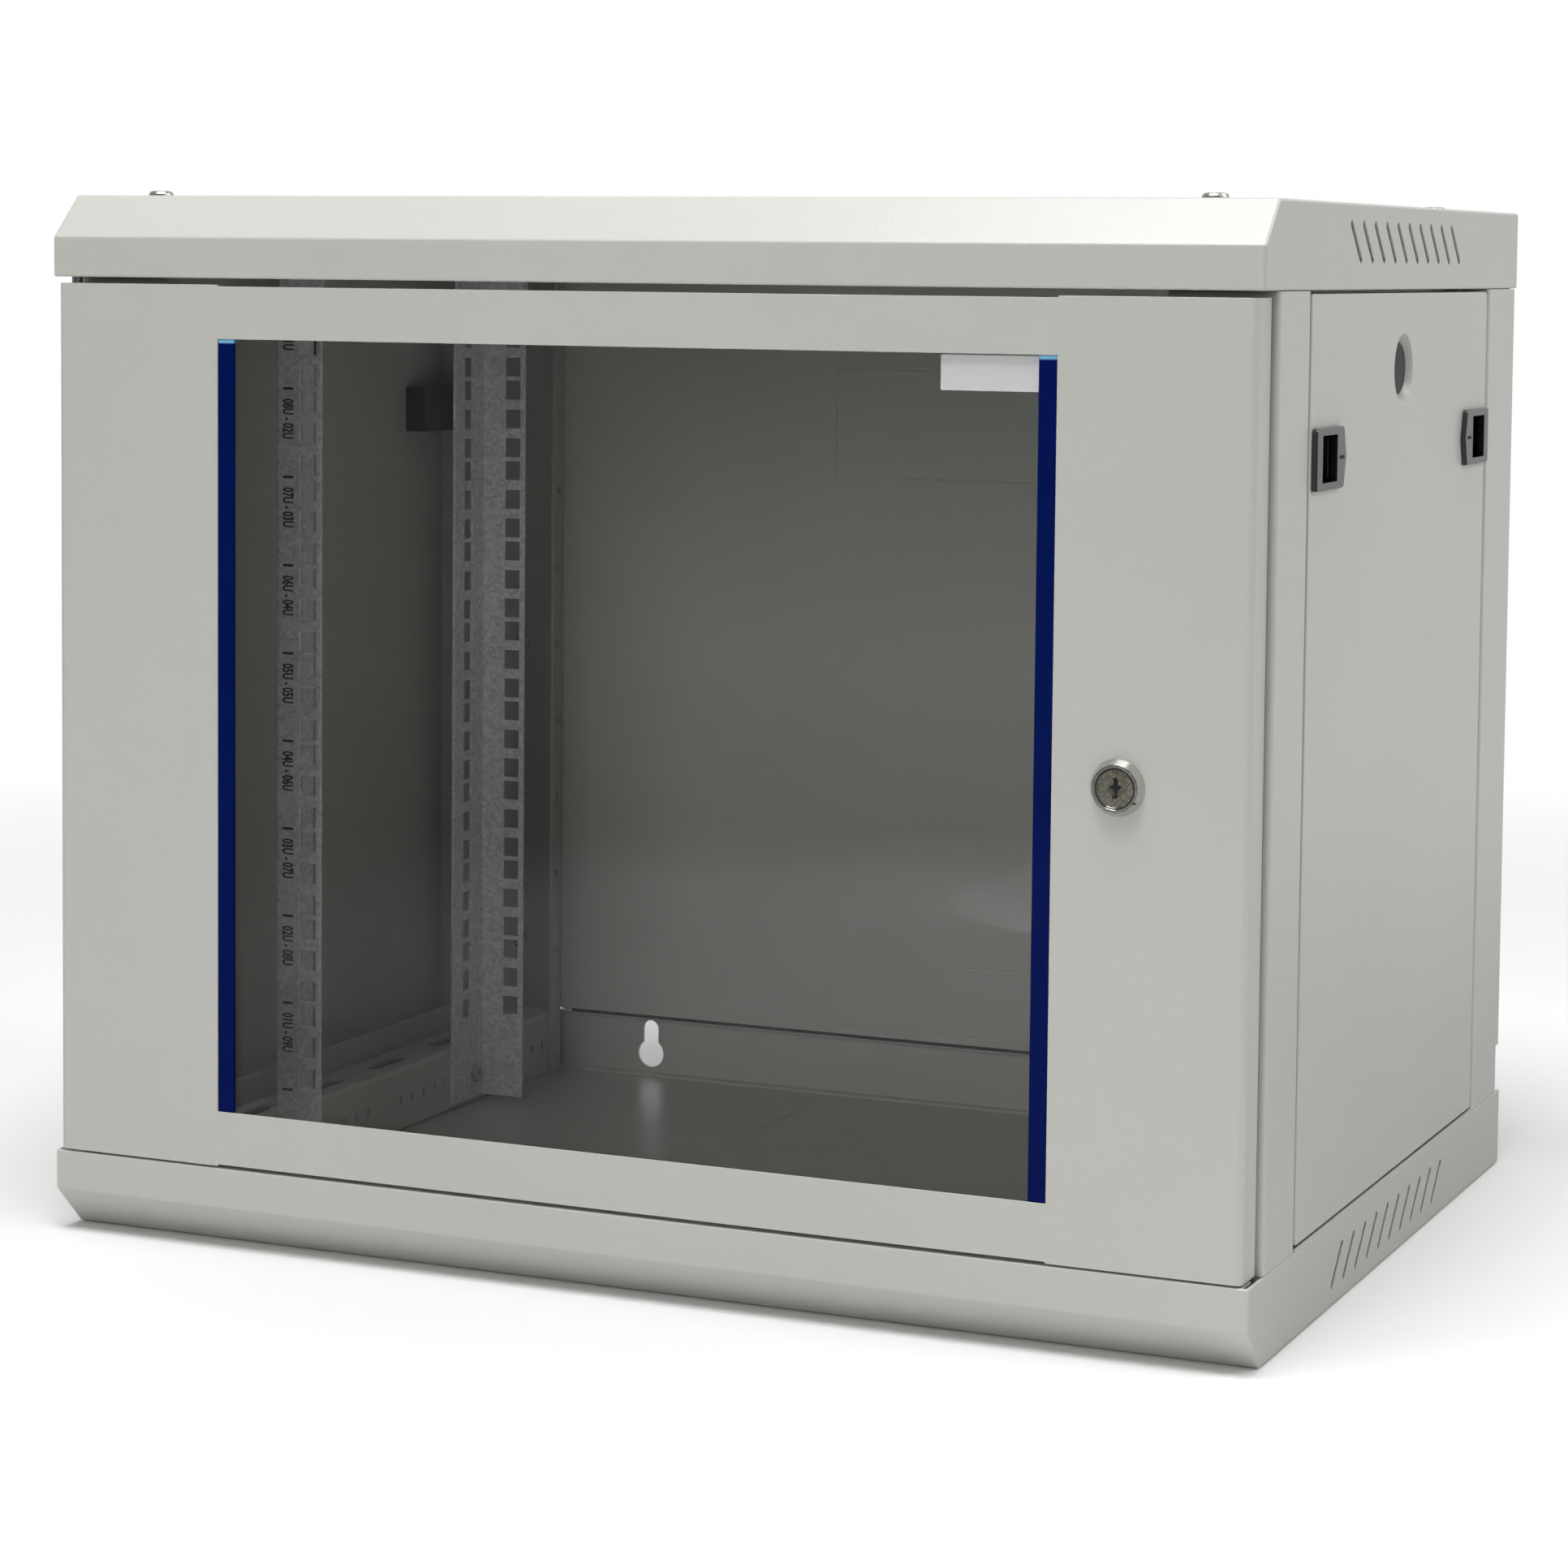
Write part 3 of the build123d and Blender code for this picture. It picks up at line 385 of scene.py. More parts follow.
# moulded and foamed plastics, by slot
plasticLook = {
    "black_gasket": {
        "name": "foamGasket", "dark": (0.010, 0.010, 0.010, 1), "light": (0.022, 0.022, 0.022, 1),
        "roughness": 0.8, "grain": 3200.0, "bumpDepth": 0.0001, "gloss": 0.5,
    },
    "grey_plastic": {
        "name": "latchCharcoal", "dark": (0.010, 0.010, 0.010, 1), "light": (0.018, 0.018, 0.017, 1),
        "roughness": 0.22, "grain": 2600.0, "bumpDepth": 0.00004, "gloss": 1.0,
    },
    "black_plastic": {
        "name": "plainBlack", "dark": (0.009, 0.009, 0.009, 1), "light": (0.016, 0.016, 0.016, 1),
        "roughness": 0.42, "grain": 2600.0, "bumpDepth": 0.00005, "gloss": 0.22,
    },
}
plasticWear = {
    "paleGain": 2.2, "paleLift": 0.02, "edgeMaskRadius": 0.0005, "edgeMaskStrength": 4.0, "wearAndHighlightShare": 0.45,
    "marks": 40.0, "marksAmount": 0.12, "bump": 0.25, "roundRadius": 0.0004,
}


def makePlastic(values):
    look = {**plasticWear, **values}
    material, tree, shader = newMaterial(look["name"])
    shader.inputs["Specular IOR Level"].default_value = look["gloss"]
    mould = useGroup(tree, "grain", Grain=look["grain"])
    base = tint(tree, mould["Tone"], look["dark"], look["light"])
    pale = tuple(min(1.0, c * look["paleGain"] + look["paleLift"]) for c in look["light"][:3]) + (1,)
    wornAndLitEdges(tree, shader, base, pale, look)
    handledGloss(tree, shader, look)
    softNormal(tree, shader, mould["Height"], look)
    return material


# navy strips along the window, with a pale blue highlight painted on their top ends
trimLook = {
    "dark": (0.0001, 0.0050, 0.068, 1), "light": (0.0002, 0.0062, 0.086, 1), "end": (0.22, 0.52, 0.80, 1),
    "endHighlightLength": 0.0022, "endHighlightFade": 0.6, "grain": 3000.0, "roughness": 0.34, "gloss": 0.06, "marks": 40.0,
    "marksAmount": 0.12, "bump": 0.25, "bumpDepth": 0.00001, "roundRadius": 0.0004,
}


def makeTrimFilm():
    look = trimLook
    material, tree, shader = newMaterial("navyTrimFilm")
    shader.inputs["Specular IOR Level"].default_value = look["gloss"]
    mould = useGroup(tree, "grain", Grain=look["grain"])
    film = tint(tree, mould["Tone"], look["dark"], look["light"])
    apart = feed(tree, place(tree, "ShaderNodeSeparateXYZ"), Vector=objectPoint(tree))
    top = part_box("trim_strip_left")[1].z
    highlightLow, highlightHigh = top - look["endHighlightLength"], top - look["endHighlightLength"] * look["endHighlightFade"]
    # painted highlight: the film turns pale blue towards its top ends, where light catches them
    paintedEndHighlight = spread(tree, apart.outputs["Z"], highlightLow, highlightHigh, 0.0, 1.0)
    tree.links.new(tint(tree, paintedEndHighlight, film, look["end"]), shader.inputs["Base Color"])
    handledGloss(tree, shader, look)
    softNormal(tree, shader, mould["Height"], look)
    return material


# clear safety glass, which lets soft shadows through instead of tracing every caustic
glassLook = {
    "tint": (0.955, 0.962, 0.957, 1), "ior": 1.5, "roughness": 0.0, "through": (0.94, 0.945, 0.94, 1),
    "blocked": (0.04, 0.04, 0.04, 1), "marks": 5.0, "marksAmount": 0.02, "facingBlend": 0.5,
    "flatLoss": 5.0,
}


def makeGlass():
    look = glassLook
    material, tree, shader = newMaterial("clearSafetyGlass")
    shader.inputs["Base Color"].default_value = look["tint"]
    shader.inputs["Transmission Weight"].default_value = 1.0
    shader.inputs["IOR"].default_value = look["ior"]
    marks = useGroup(tree, "handling", Size=look["marks"], Amount=look["marksAmount"])
    rough = sums(tree, "MAXIMUM", marks["Rough"], look["roughness"], clamp=True)
    tree.links.new(rough, shader.inputs["Roughness"])
    # shadow rays lose as much at a flat angle as a real pane reflects
    facing = feed(tree, place(tree, "ShaderNodeLayerWeight"), Blend=look["facingBlend"]).outputs["Facing"]
    passed = tint(tree, sums(tree, "POWER", facing, look["flatLoss"]), look["through"], look["blocked"])
    clear = feed(tree, place(tree, "ShaderNodeBsdfTransparent"), Color=passed)
    path = place(tree, "ShaderNodeLightPath")
    soft = sums(tree, "MAXIMUM", path.outputs["Is Shadow Ray"], path.outputs["Is Diffuse Ray"])
    mix = feed(tree, place(tree, "ShaderNodeMixShader"), Fac=soft)
    tree.links.new(shader.outputs["BSDF"], mix.inputs[1])
    tree.links.new(clear.outputs["BSDF"], mix.inputs[2])
    tree.links.new(mix.outputs["Shader"], tree.nodes["Material Output"].inputs["Surface"])
    return material


finishes = {
    "cabinet_paint": makePaint(),
    "galvanised_steel": makeGalvanised(),
    "window_glass": makeGlass(),
    "navy_trim": makeTrimFilm(),
}
for slotName, look in metalLook.items():
    finishes[slotName] = makeMetal(look)
for slotName, look in plasticLook.items():
    finishes[slotName] = makePlastic(look)
print("materials made:", len(finishes))

slotOf = {entry["node"]: entry["material_slot"] for entry in frame["record"]["subparts"]}
for name, obj in nodes.items():
    obj.data.materials.clear()
    obj.data.materials.append(finishes[slotOf[name]])
print("finishes given to every node")


# helpers for meshes
def addMesh(name, mesh, material, body):
    obj = bpy.data.objects.new(name, mesh)
    bpy.context.scene.collection.objects.link(obj)
    obj.data.materials.append(material)
    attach(obj, body)
    return obj


def settle(made, name, body, slotName, origin=(0, 0, 0), axis=(0, 0, 1), material=None):
    # +z of the part is turned to the axis and its origin set in place
    bmesh.ops.recalc_face_normals(made, faces=made.faces)
    turn = Vector((0, 0, 1)).rotation_difference(Vector(axis)).to_matrix().to_4x4()
    made.transform(Matrix.Translation(origin) @ turn)
    mesh = bpy.data.meshes.new(name)
    made.to_mesh(mesh)
    made.free()
    return addMesh(name, mesh, material or finishes[slotName], body)


def circle(made, radius, z, count):
    angles = [i * 2 * math.pi / count for i in range(count)]
    return [made.verts.new((radius * math.cos(a), radius * math.sin(a), z)) for a in angles]


def skin(made, first, second):
    # a band of faces between two loops with as many points
    for i in range(len(first)):
        j = (i + 1) % len(first)
        made.faces.new((first[i], first[j], second[j], second[i]))


def fillBetween(made, outer, inner):
    edges = []
    for loop in (outer, inner):
        for i in range(len(loop)):
            pair = (loop[i], loop[(i + 1) % len(loop)])
            edges.append(made.edges.get(pair) or made.edges.new(pair))
    bmesh.ops.triangle_fill(made, edges=edges, use_beauty=True)


def slab(corners, thick):
    # a thin plate: the corners are its front, its back lies further in along y
    made = bmesh.new()
    front = [made.verts.new(corner) for corner in corners]
    back = [made.verts.new((x, y + thick, z)) for x, y, z in corners]
    made.faces.new(front)
    made.faces.new(back)
    skin(made, front, back)
    return made


# screws and nuts: domed or countersunk heads with a cross recess, chamfered nuts
screwLook = {
    "segments": 28, "crownShare": 0.60, "domeRings": ((0.86, 0.16), (0.97, 0.55), (1.0, 0.80), (1.0, 1.0)),
    "flushCrown": 0.98, "flushEdge": 0.0001, "crossReach": 0.50, "crossHalfWidth": 0.11, "crossDepth": 0.0012,
    "crossTaper": 0.62, "nutChamfer": 0.0006, "nutFaceCut": 1.3, "endSink": 0.0002, "endShare": 0.86,
}
screwKinds = {
    "cover_screws_top": {
        "axis": "Z", "head": "high", "headRadius": 0.0060, "headHeight": 0.0025, "shaft": 0.0029,
        "nutFlats": 0.0100, "nutHeight": 0.0040,
    },
    "cover_screws_bottom": {
        "axis": "Z", "head": "low", "headRadius": 0.0056, "headHeight": 0.0027, "shaft": 0.0029,
        "nutFlats": 0.0100, "nutHeight": 0.0040,
    },
    "back_panel_screws": {
        "axis": "Y", "head": "high", "headRadius": 0.00475, "headHeight": 0.0028, "shaft": 0.0024,
        "nutFlats": 0.0080, "nutHeight": 0.0032,
    },
    "rail_screws": {
        "axis": "X", "head": "inner", "headRadius": 0.0052, "headHeight": 0.0024, "shaft": 0.0029,
        "nutFlats": 0.0100, "nutHeight": 0.0040,
    },
}


def islandBoxes(name):
    # low and high corner of every loose solid in a node
    made = bmesh.new()
    made.from_mesh(nodes[name].data)
    bmesh.ops.remove_doubles(made, verts=made.verts, dist=0.000001)
    left = set(made.verts)
    boxes = []
    while left:
        edge = [left.pop()]
        points = []
        while edge:
            vertex = edge.pop()
            points.append(vertex.co.copy())
            for link in vertex.link_edges:
                other = link.other_vert(vertex)
                if other in left:
                    left.remove(other)
                    edge.append(other)
        low = Vector([min(p[i] for p in points) for i in range(3)])
        high = Vector([max(p[i] for p in points) for i in range(3)])
        boxes.append((low, high))
    made.free()
    return boxes


def crossLoop(made, reach, half, z):
    points = []
    for quarter in range(4):
        c, s = math.cos(quarter * math.pi / 2), math.sin(quarter * math.pi / 2)
        for x, y in ((half, -half), (reach, -half), (reach, half)):
            points.append(made.verts.new((c * x - s * y, s * x + c * y, z)))
    return points


def fastener(kind, length):
    # crown at the origin, shaft along +z
    look = screwLook
    headRadius, headHeight, shaft = kind["headRadius"], kind["headHeight"], kind["shaft"]
    flush = kind["head"] == "low"
    made = bmesh.new()
    count = look["segments"]
    crown = circle(made, headRadius * look["flushCrown" if flush else "crownShare"], 0.0, count)
    reach, half = headRadius * look["crossReach"], headRadius * look["crossHalfWidth"]
    top = crossLoop(made, reach, half, 0.0)
    fillBetween(made, crown, top)
    bottom = crossLoop(made, reach * look["crossTaper"], half * look["crossTaper"], look["crossDepth"])
    skin(made, top, bottom)
    made.faces.new(bottom)
    if flush:
        rings = [(headRadius, look["flushEdge"])]
    else:
        rings = [(headRadius * wide, headHeight * deep) for wide, deep in look["domeRings"]]
    nutLow = length - kind["nutHeight"]
    last = crown
    for radius, z in rings + [(shaft, headHeight), (shaft, nutLow)]:
        ring = circle(made, radius, z, count)
        skin(made, last, ring)
        last = ring
    across, cut = kind["nutFlats"] / math.sqrt(3), look["nutChamfer"]
    seat = circle(made, across, nutLow, 6)
    fillBetween(made, seat, last)
    shoulder = circle(made, across, length - cut, 6)
    skin(made, seat, shoulder)
    face = circle(made, across - cut * look["nutFaceCut"], length, 6)
    skin(made, shoulder, face)
    bore = circle(made, shaft, length, count)
    fillBetween(made, face, bore)
    sunk = circle(made, shaft * look["endShare"], length - look["endSink"], count)
    skin(made, bore, sunk)
    made.faces.new(sunk)
    bmesh.ops.recalc_face_normals(made, faces=made.faces)
    return made


def makeScrews(name, kind):
    i = "XYZ".index(kind["axis"])
    whole = bmesh.new()
    for low, high in islandBoxes(name):
        middle = (low + high) / 2
        headHigh = kind["head"] == "high" or (kind["head"] == "inner" and middle[i] < 0)
        crown = middle.copy()
        crown[i] = high[i] if headHigh else low[i]
        inward = Vector((0, 0, 0))
        inward[i] = -1 if headHigh else 1
        one = fastener(kind, high[i] - low[i])
        turn = Vector((0, 0, 1)).rotation_difference(inward).to_matrix().to_4x4()
        one.transform(Matrix.Translation(crown) @ turn)
        mesh = bpy.data.meshes.new("one")
        one.to_mesh(mesh)
        one.free()
        whole.from_mesh(mesh)
        bpy.data.meshes.remove(mesh)
    mesh = bpy.data.meshes.new(name)
    whole.to_mesh(mesh)
    whole.free()
    piece = addMesh("detailed_" + name, mesh, finishes["zinc_fastener"], "frame")
    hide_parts(name)


for name, kind in screwKinds.items():
    makeScrews(name, kind)
print("screws detailed")

# moulded cap of the side panel plugs; its face lies a little inside the panel
capLook = {
    "radius": 0.0121, "depth": 0.0020, "thick": 0.0030, "edge": 0.0007, "edgeSteps": 4, "crown": 0.00025,
    "crownRings": ((0.5, 0.2), (0.8, 0.55)), "segments": 72,
}


def makePlugCap(side, panelNode):
    look = capLook
    low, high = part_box(panelNode)
    plugLow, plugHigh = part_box(panelNode.replace("side_panel", "panel_plug"))
    outside = high.x if side > 0 else low.x
    origin = (plugLow + plugHigh) / 2
    origin.x = outside - side * look["depth"]
    radius, edge, crown = look["radius"], look["edge"], look["crown"]
    profile = [(radius * wide, crown * deep) for wide, deep in look["crownRings"]] + [(radius - edge, crown)]
    for step in range(1, look["edgeSteps"] + 1):
        a = step * math.pi / 2 / look["edgeSteps"]
        profile.append((radius - edge + edge * math.sin(a), crown + edge - edge * math.cos(a)))
    profile.append((radius, look["thick"]))
    made = bmesh.new()
    rings = [circle(made, wide, deep, look["segments"]) for wide, deep in profile]
    for first, second in zip(rings, rings[1:]):
        skin(made, first, second)
    made.faces.new(rings[0])
    made.faces.new(rings[-1])
    settle(made, "plugCap_" + panelNode, panelNode, "black_plastic", origin, (-side, 0, 0))


makePlugCap(1, "side_panel_right")
makePlugCap(-1, "side_panel_left")

# dark inserts painted as the shade in the pointer slots of the latches
slotShadeLook = {
    "floorDepth": 0.0006, "halfHeight": 0.00075, "below": 0.00008, "taper": 0.00010, "tolerance": 0.00003,
}


def makeSlotShade(node, body):
    look = slotShadeLook
    low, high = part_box(node)
    side = 1 if high.x > 0 else -1
    face = max(abs(low.x), abs(high.x))
    middle = (low.z + high.z) / 2
    floor = [v.co for v in nodes[node].data.vertices
             if abs(abs(v.co.x) - face + look["floorDepth"]) < look["tolerance"]
             and abs(abs(v.co.z - middle) - look["halfHeight"]) < look["tolerance"]]
    y0, y1 = min(p.y for p in floor), max(p.y for p in floor)
    made = bmesh.new()
    rings = []
    for depth, inset in ((look["floorDepth"], 0.0), (look["below"], look["taper"])):
        x = side * (face - depth)
        half = look["halfHeight"] - inset
        corners = ((y0 + inset, -half), (y1 - inset, -half), (y1 - inset, half), (y0 + inset, half))
        rings.append([made.verts.new((x, y, middle + z)) for y, z in corners])
    skin(made, rings[0], rings[1])
    made.faces.new(rings[0])
    made.faces.new(rings[1])
    # painted shade: a black block down in each latch's pointer slot
    settle(made, node.replace("latch_housing", "latchSlotShade"), body, "black_gasket")


for side in ("left", "right"):
    for end in ("front", "rear"):
        makeSlotShade("latch_housing_%s_%s" % (end, side), "side_panel_" + side)

# lock face: a dark ring painted as the shade in the gap round the plug, a dark plate painted as the shade
# down the key way in its guide, one bright guide facet
lockLook = {
    "ringRadius": 0.00872, "ringThick": 0.00042, "ringDepth": 0.00048, "segments": 64, "ringSegments": 10,
    "plateThick": 0.0003, "keyWayDepth": 0.00072,
    # corners as x, z
    "keyWayShade": (
        (0, 0.0044), (0.0010, 0.0014), (0.0031, 0.0005), (0.0010, -0.0010), (0, -0.0044),
        (-0.0010, -0.0010), (-0.0031, 0.0005), (-0.0010, 0.0014),
    ),
    # corners as x, depth below the plug's face, z
    "facet": (
        (-0.003255, 0.00030, 0.0002), (-0.0009, 0.00072, -0.0006), (-0.0006, 0.00072, -0.002728),
        (-0.001705, 0.00030, -0.001848),
    ),
}


def makeLockFace():
    look = lockLook
    housingLow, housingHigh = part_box("lock_housing")
    plugLow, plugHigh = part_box("lock_plug")
    centreX, centreZ = (plugLow.x + plugHigh.x) / 2, (housingLow.z + housingHigh.z) / 2
    # painted shade: a black ring standing for the dark gap between the plug and the housing
    ring = bmesh.new()
    turns, thick = look["ringSegments"], look["ringThick"]
    loops = []
    for step in range(turns):
        a = 2 * math.pi * step / turns
        loops.append(circle(ring, look["ringRadius"] + thick * math.cos(a),
                            look["ringDepth"] + thick * math.sin(a), look["segments"]))
    for first, second in zip(loops, loops[1:] + loops[:1]):
        skin(ring, first, second)
    settle(ring, "lockGapShadeRing", "door", "black_gasket", (centreX, housingLow.y, centreZ), (0, 1, 0))
    centre = (centreX, 0, centreZ)
    # painted shade: a black plate down in the key way, darker than its shallow recess would be
    keyWayShade = slab([(x, plugLow.y + look["keyWayDepth"], z) for x, z in look["keyWayShade"]], look["plateThick"])
    settle(keyWayShade, "lockKeyWayShade", "lock", "black_gasket", centre)
    facet = slab([(x, plugLow.y + depth, z) for x, depth, z in look["facet"]], look["plateThick"])
    settle(facet, "lockGuideFacet", "lock", "lock_chrome", centre)


makeLockFace()
print("lock face and plug caps made")

# a dark strip painted as the shadow in the gap between the back panel and the lower cross member; section as
# shares of thick and high
jointShadowLook = {
    "high": 0.0019, "thick": 0.0004, "endGap": 0.004, "edgeBand": 0.001,
    "section": ((0, -0.4), (1, -0.2), (1, 0.4), (0, 0.6)),
}


def makePlateShadowStrip():
    look = jointShadowLook
    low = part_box("back_panel")[0]
    lowest = [v.co for v in nodes["back_panel"].data.vertices if v.co.z - low.z < look["edgeBand"]]
    plateFace = min(p.y for p in lowest)
    x1 = max(p.x for p in lowest) - look["endGap"]
    made = bmesh.new()
    section = [(plateFace - look["thick"] * out, low.z + look["high"] * up) for out, up in look["section"]]
    leftEnd = [made.verts.new((-x1, y, z)) for y, z in section]
    rightEnd = [made.verts.new((x1, y, z)) for y, z in section]
    skin(made, leftEnd, rightEnd)
    made.faces.new(leftEnd)
    made.faces.new(rightEnd)
    # painted shadow: a black strip along the back panel's lower edge, where the gap lies in shade
    settle(made, "plateShadowStrip", "frame", "black_gasket")


makePlateShadowStrip()
print("plate joint made")

# unit numbers printed on the front rails, read from top to bottom
printLook = {
    "units": 9, "unitHeight": 0.04445, "firstUnit": 0.049975, "columnX": 0.2440, "textSize": 0.0084,
    "squeeze": 0.56, "boldness": 0.034, "textBelowLine": 0.0052, "lineLength": 0.0060, "lineThick": 0.0013,
    "lift": 0.00006, "curveSteps": 3, "dark": (0.008, 0.008, 0.009, 1), "light": (0.03, 0.03, 0.032, 1),
    "hazeScale": 800.0, "hazeDetail": 3.0, "roughLow": 0.5, "roughHigh": 0.7,
}


def makePrintInk():
    look = printLook
    material, tree, shader = newMaterial("railInk")
    haze = noise(tree, objectPoint(tree), look["hazeScale"], look["hazeDetail"]).outputs["Fac"]
    tree.links.new(tint(tree, haze, look["dark"], look["light"]), shader.inputs["Base Color"])
    rough = spread(tree, haze, noiseLow, noiseHigh, look["roughLow"], look["roughHigh"])
    tree.links.new(rough, shader.inputs["Roughness"])
    return material


def letters(text):
    # the filled outlines of a short text as a flat mesh
    look = printLook
    curve = bpy.data.curves.new("letters", "FONT")
    curve.body = text
    curve.size = look["textSize"]
    curve.resolution_u = look["curveSteps"]
    curve.offset = look["textSize"] * look["boldness"]
    obj = bpy.data.objects.new("letters", curve)
    bpy.context.scene.collection.objects.link(obj)
    bpy.context.view_layer.update()
    mesh = bpy.data.meshes.new_from_object(obj.evaluated_get(bpy.context.evaluated_depsgraph_get()))
    bpy.data.objects.remove(obj)
    bpy.data.curves.remove(curve)
    return mesh


def printedRail(side, railNode, ink):
    look = printLook
    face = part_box(railNode)[0].y - look["lift"]
    columnX = look["columnX"] * side
    made = bmesh.new()
    for unit in range(look["units"]):
        top = look["firstUnit"] + (unit + 1) * look["unitHeight"]
        text = letters("%02dU - %02dU" % (unit + 1, look["units"] - unit))
        xs = [v.co.x for v in text.vertices]
        ys = [v.co.y for v in text.vertices]
        middle = (min(ys) + max(ys)) / 2
        for vertex in text.vertices:
            along = (vertex.co.x - min(xs)) * look["squeeze"]
            vertex.co = Vector((columnX + vertex.co.y - middle, face, top - look["textBelowLine"] - along))
        made.from_mesh(text)
        bpy.data.meshes.remove(text)
    for unit in range(look["units"] + 1):
        z = look["firstUnit"] + unit * look["unitHeight"]
        x0, x1 = columnX - look["lineLength"] / 2, columnX + look["lineLength"] / 2
        z0, z1 = z - look["lineThick"] / 2, z + look["lineThick"] / 2
        made.faces.new([made.verts.new((x, face, zz)) for x, zz in ((x0, z0), (x1, z0), (x1, z1), (x0, z1))])
    mesh = bpy.data.meshes.new("railNumbers")
    made.to_mesh(mesh)
    made.free()
    addMesh("railNumbers_%s" % railNode, mesh, ink, "frame")


ink = makePrintInk()
printedRail(-1, "front_rail_left", ink)
printedRail(1, "front_rail_right", ink)
print("rail numbers printed")

# the bare film label on the glass
labelLook = {
    "width": 0.0450, "height": 0.0154, "right": 0.0004, "top": 0.0006, "corner": 0.0006, "cornerSteps": 4,
    "lift": 0.0002, "glueGap": 0.00002, "paper": (0.63, 0.63, 0.63, 1), "shade": 0.95, "fibreScale": 500.0,
    "fibreDetail": 4.0, "roughLow": 0.32, "roughHigh": 0.4,
}


def makeLabelFilm():
    look = labelLook
    material, tree, shader = newMaterial("labelFilm")
    fibre = noise(tree, objectPoint(tree), look["fibreScale"], look["fibreDetail"]).outputs["Fac"]
    shade = tuple(c * look["shade"] for c in look["paper"][:3]) + (1,)
    tree.links.new(tint(tree, fibre, shade, look["paper"]), shader.inputs["Base Color"])
    rough = spread(tree, fibre, noiseLow, noiseHigh, look["roughLow"], look["roughHigh"])
    tree.links.new(rough, shader.inputs["Roughness"])
    return material


def makeLabel():
    look = labelLook
    windowLow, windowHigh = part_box("trim_strip_right")
    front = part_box("door_glass")[0].y - look["lift"]
    x1 = windowLow.x - look["right"]
    z1 = windowHigh.z - look["top"]
    x0, z0, r = x1 - look["width"], z1 - look["height"], look["corner"]
    points = []
    rounds = ((x1 - r, z1 - r, 0), (x0 + r, z1 - r, 90), (x0 + r, z0 + r, 180), (x1 - r, z0 + r, 270))
    for cx, cz, start in rounds:
        for step in range(look["cornerSteps"] + 1):
            a = math.radians(start + step * 90 / look["cornerSteps"])
            points.append((cx + r * math.cos(a), front, cz + r * math.sin(a)))
    made = slab(points, look["lift"] - look["glueGap"])
    settle(made, "glassLabel", "door", "grey_plastic", material=makeLabelFilm())


makeLabel()
print("label placed")

# studio: floor that fades into a white surround, soft boxes, camera
studioLook = {
    "floorSize": 8.0, "floorDrop": 0.0005, "floorColor": (0.88, 0.88, 0.88, 1),
    "mirroredFloor": (0.17, 0.17, 0.17, 1), "floorRoughness": 0.7, "fadeStart": 0.7, "fadeEnd": 1.7,
    "surroundFront": 0.08, "surroundBack": 0.66, "backdrop": 1.0,
}


def makeFloor():
    look = studioLook
    mesh = bpy.data.meshes.new("studioFloor")
    half = look["floorSize"] / 2
    corners = [(-half, -half, 0), (half, -half, 0), (half, half, 0), (-half, half, 0)]
    mesh.from_pydata(corners, [], [(0, 1, 2, 3)])
    floor = bpy.data.objects.new("studioFloor", mesh)
    floor.location.z = cadLow.z - look["floorDrop"]
    bpy.context.scene.collection.objects.link(floor)
    material, tree, shader = newMaterial("paleFloor")
    # darker where the glass and the paint mirror it
    path = place(tree, "ShaderNodeLightPath")
    reflected = sums(tree, "GREATER_THAN", path.outputs["Glossy Depth"], 0.5)
    mirrored = sums(tree, "MULTIPLY", path.outputs["Is Glossy Ray"], reflected)
    color = tint(tree, mirrored, look["floorColor"], look["mirroredFloor"])
    tree.links.new(color, shader.inputs["Base Color"])
    shader.inputs["Roughness"].default_value = look["floorRoughness"]
    away = place(tree, "ShaderNodeVectorMath", operation="LENGTH")
    tree.links.new(objectPoint(tree), away.inputs[0])
    fade = spread(tree, away.outputs["Value"], look["fadeStart"], look["fadeEnd"], 0.0, 1.0)
    clear = place(tree, "ShaderNodeBsdfTransparent")
    mix = feed(tree, place(tree, "ShaderNodeMixShader"), Fac=fade)
    tree.links.new(shader.outputs["BSDF"], mix.inputs[1])
    tree.links.new(clear.outputs["BSDF"], mix.inputs[2])
    tree.links.new(mix.outputs["Shader"], tree.nodes["Material Output"].inputs["Surface"])
    floor.data.materials.append(material)


def makeWorld():
    # white for straight looks, also through the glass, and a dimmer surround for all other light
    look = studioLook
    world = bpy.data.worlds.new("studioWorld")
    bpy.context.scene.world = world
    world.use_nodes = True
    tree = world.node_tree
    background = tree.nodes["Background"]
    direction = place(tree, "ShaderNodeTexCoord").outputs["Generated"]
    apart = feed(tree, place(tree, "ShaderNodeSeparateXYZ"), Vector=direction)
    around = spread(tree, apart.outputs["Y"], -1.0, 1.0, look["surroundFront"], look["surroundBack"])
    path = place(tree, "ShaderNodeLightPath")
    bounces = sums(tree, "ADD", path.outputs["Diffuse Depth"], path.outputs["Glossy Depth"])
    straight = sums(tree, "LESS_THAN", bounces, 0.5)
    through = sums(tree, "MULTIPLY", path.outputs["Is Transmission Ray"], straight)
    seen = sums(tree, "MAXIMUM", path.outputs["Is Camera Ray"], through)
    background.inputs["Color"].default_value = (1, 1, 1, 1)
    tree.links.new(spread(tree, seen, 0.0, 1.0, around, look["backdrop"]), background.inputs["Strength"])


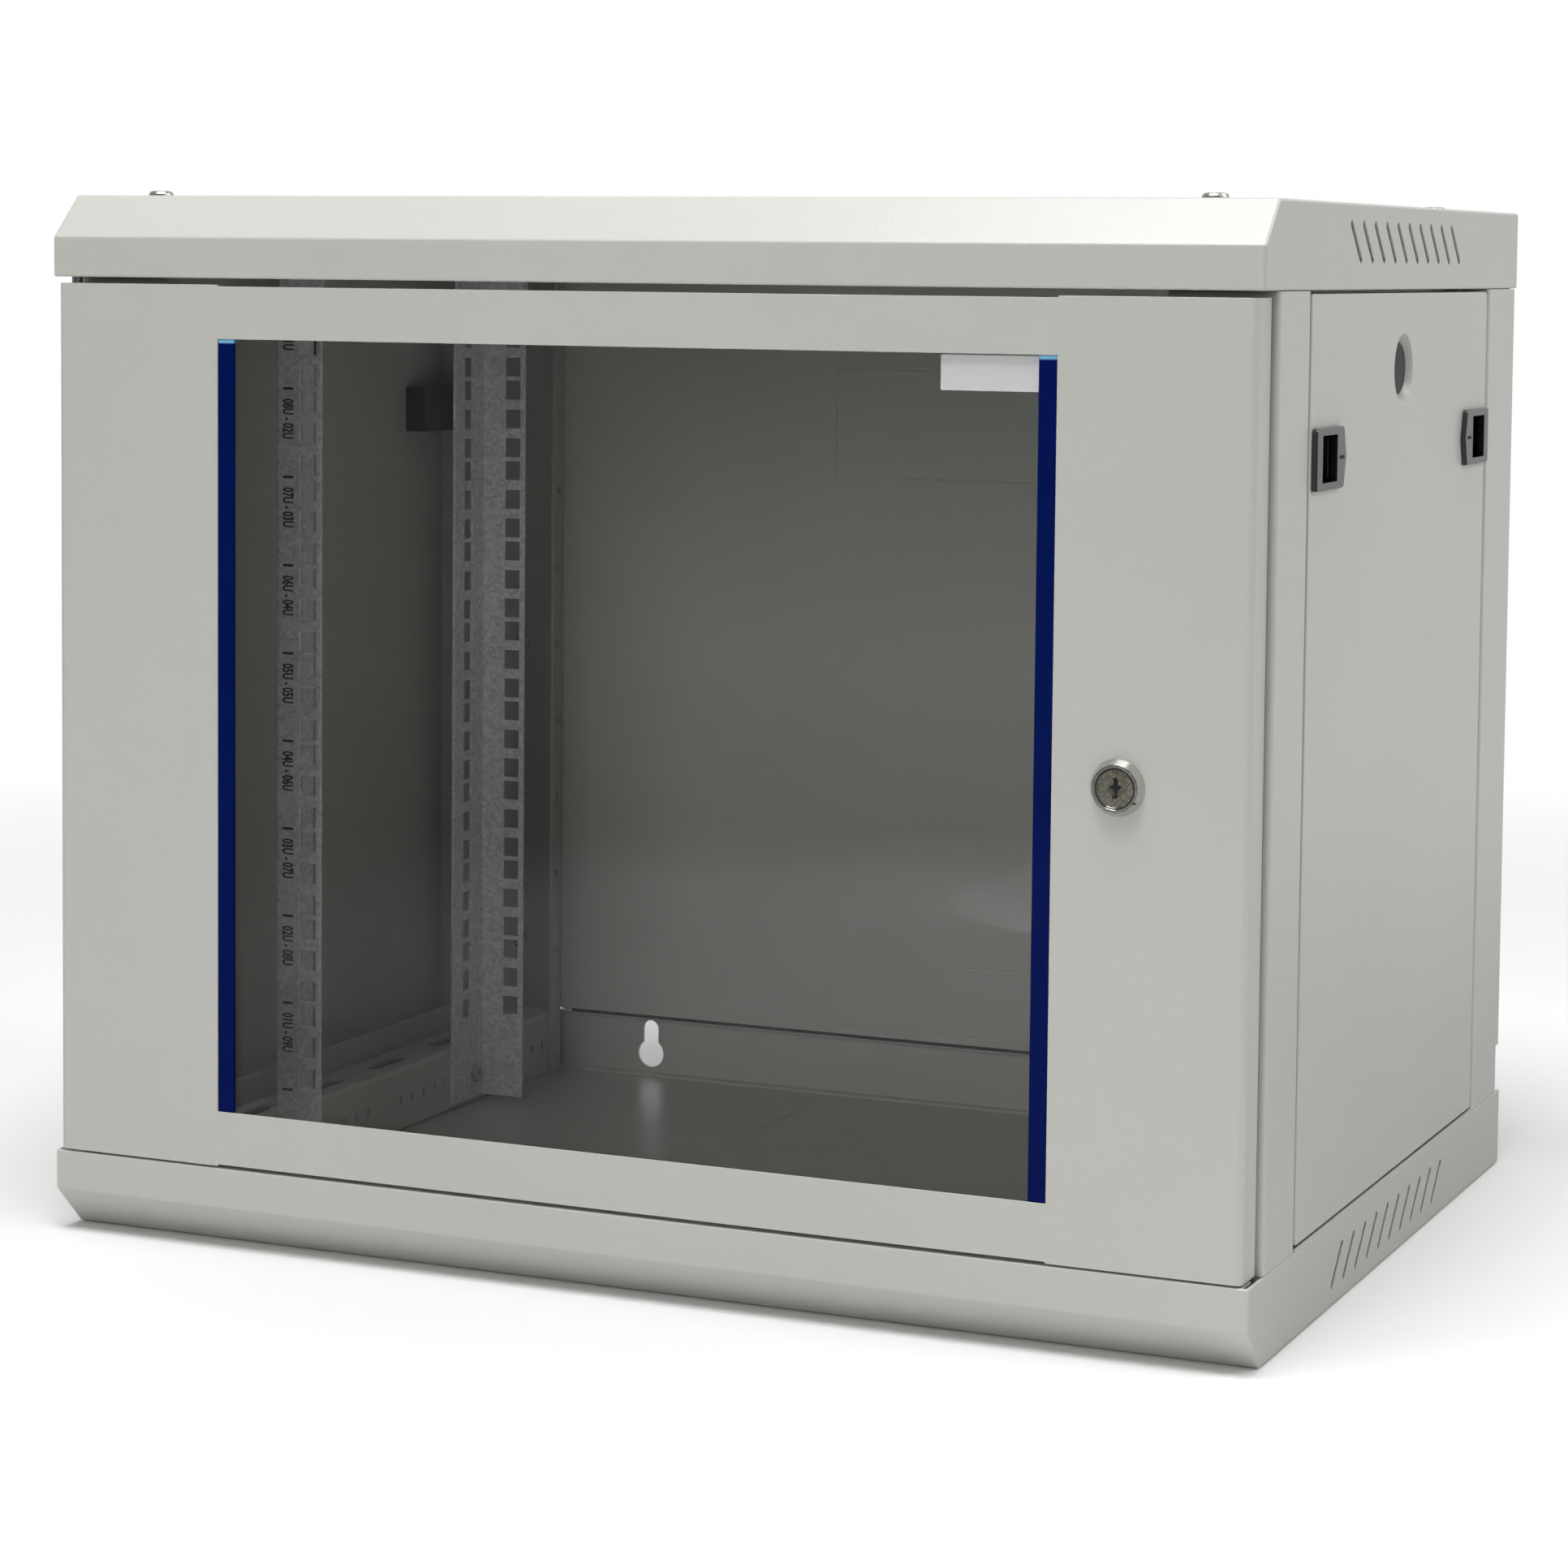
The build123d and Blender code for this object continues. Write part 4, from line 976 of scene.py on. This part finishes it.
# soft boxes; spread is in degrees, and a box that isn't mirrored doesn't show in glass or gloss
lightLook = {
    "keyAbove": {
        "position": (0.0, -0.75, 2.7), "aim": (0, 0, 0.4), "size": 1.4, "power": 65.0, "spread": 180,
        "mirrored": True,
    },
    "frontFill": {
        "position": (0.10, -2.9, 1.0), "aim": (0, 0, 0.25), "size": 1.0, "power": 17.0, "spread": 180,
        "mirrored": False,
    },
    "sideFill": {
        "position": (2.1, 0.5, 2.0), "aim": (0.3, 0, 0.35), "size": 1.3, "power": 22.0, "spread": 180,
        "mirrored": True,
    },
    "floorWash": {
        "position": (-0.1, -1.40, 2.2), "aim": (-0.1, -1.40, 0), "size": 0.5, "power": 21.0, "spread": 28,
        "mirrored": True,
    },
}


def addLight(name, look):
    data = bpy.data.lights.new(name, "AREA")
    data.energy = look["power"]
    data.size = look["size"]
    data.spread = math.radians(look["spread"])
    lamp = bpy.data.objects.new(name, data)
    bpy.context.scene.collection.objects.link(lamp)
    lamp.location = look["position"]
    lamp.visible_glossy = lamp.visible_transmission = look["mirrored"]
    lamp.rotation_euler = (Vector(look["aim"]) - Vector(look["position"])).to_track_quat("-Z", "Y").to_euler()


# the photograph's camera, solved from the cabinet's corners
cameraLook = {
    "position": (0.7728, -1.7977, 0.4708), "turn": 23.706, "tilt": -3.871, "roll": 0.543,
    "lens": 89.84, "sensor": 36.0, "shift": -0.1636, "clipStart": 0.01,
}


def makeCamera():
    look = cameraLook
    turn, tilt, roll = (math.radians(look[key]) for key in ("turn", "tilt", "roll"))
    ahead = Vector((-math.sin(turn) * math.cos(tilt), math.cos(turn) * math.cos(tilt), math.sin(tilt)))
    right = Vector((math.cos(turn), math.sin(turn), 0))
    up = right.cross(ahead)
    tiltedRight = right * math.cos(roll) + up * math.sin(roll)
    tiltedUp = up * math.cos(roll) - right * math.sin(roll)
    data = bpy.data.cameras.new("photoCamera")
    data.lens = look["lens"]
    data.sensor_width = look["sensor"]
    data.shift_y = look["shift"]
    data.clip_start = look["clipStart"]
    camera = bpy.data.objects.new("photoCamera", data)
    bpy.context.scene.collection.objects.link(camera)
    turned = Matrix((tiltedRight, tiltedUp, -ahead)).transposed().to_4x4()
    camera.matrix_world = Matrix.Translation(look["position"]) @ turned
    bpy.context.scene.camera = camera


makeFloor()
makeWorld()
for name, look in lightLook.items():
    addLight(name, look)
makeCamera()
bpy.context.scene.view_settings.view_transform = "Standard"
print("studio ready")
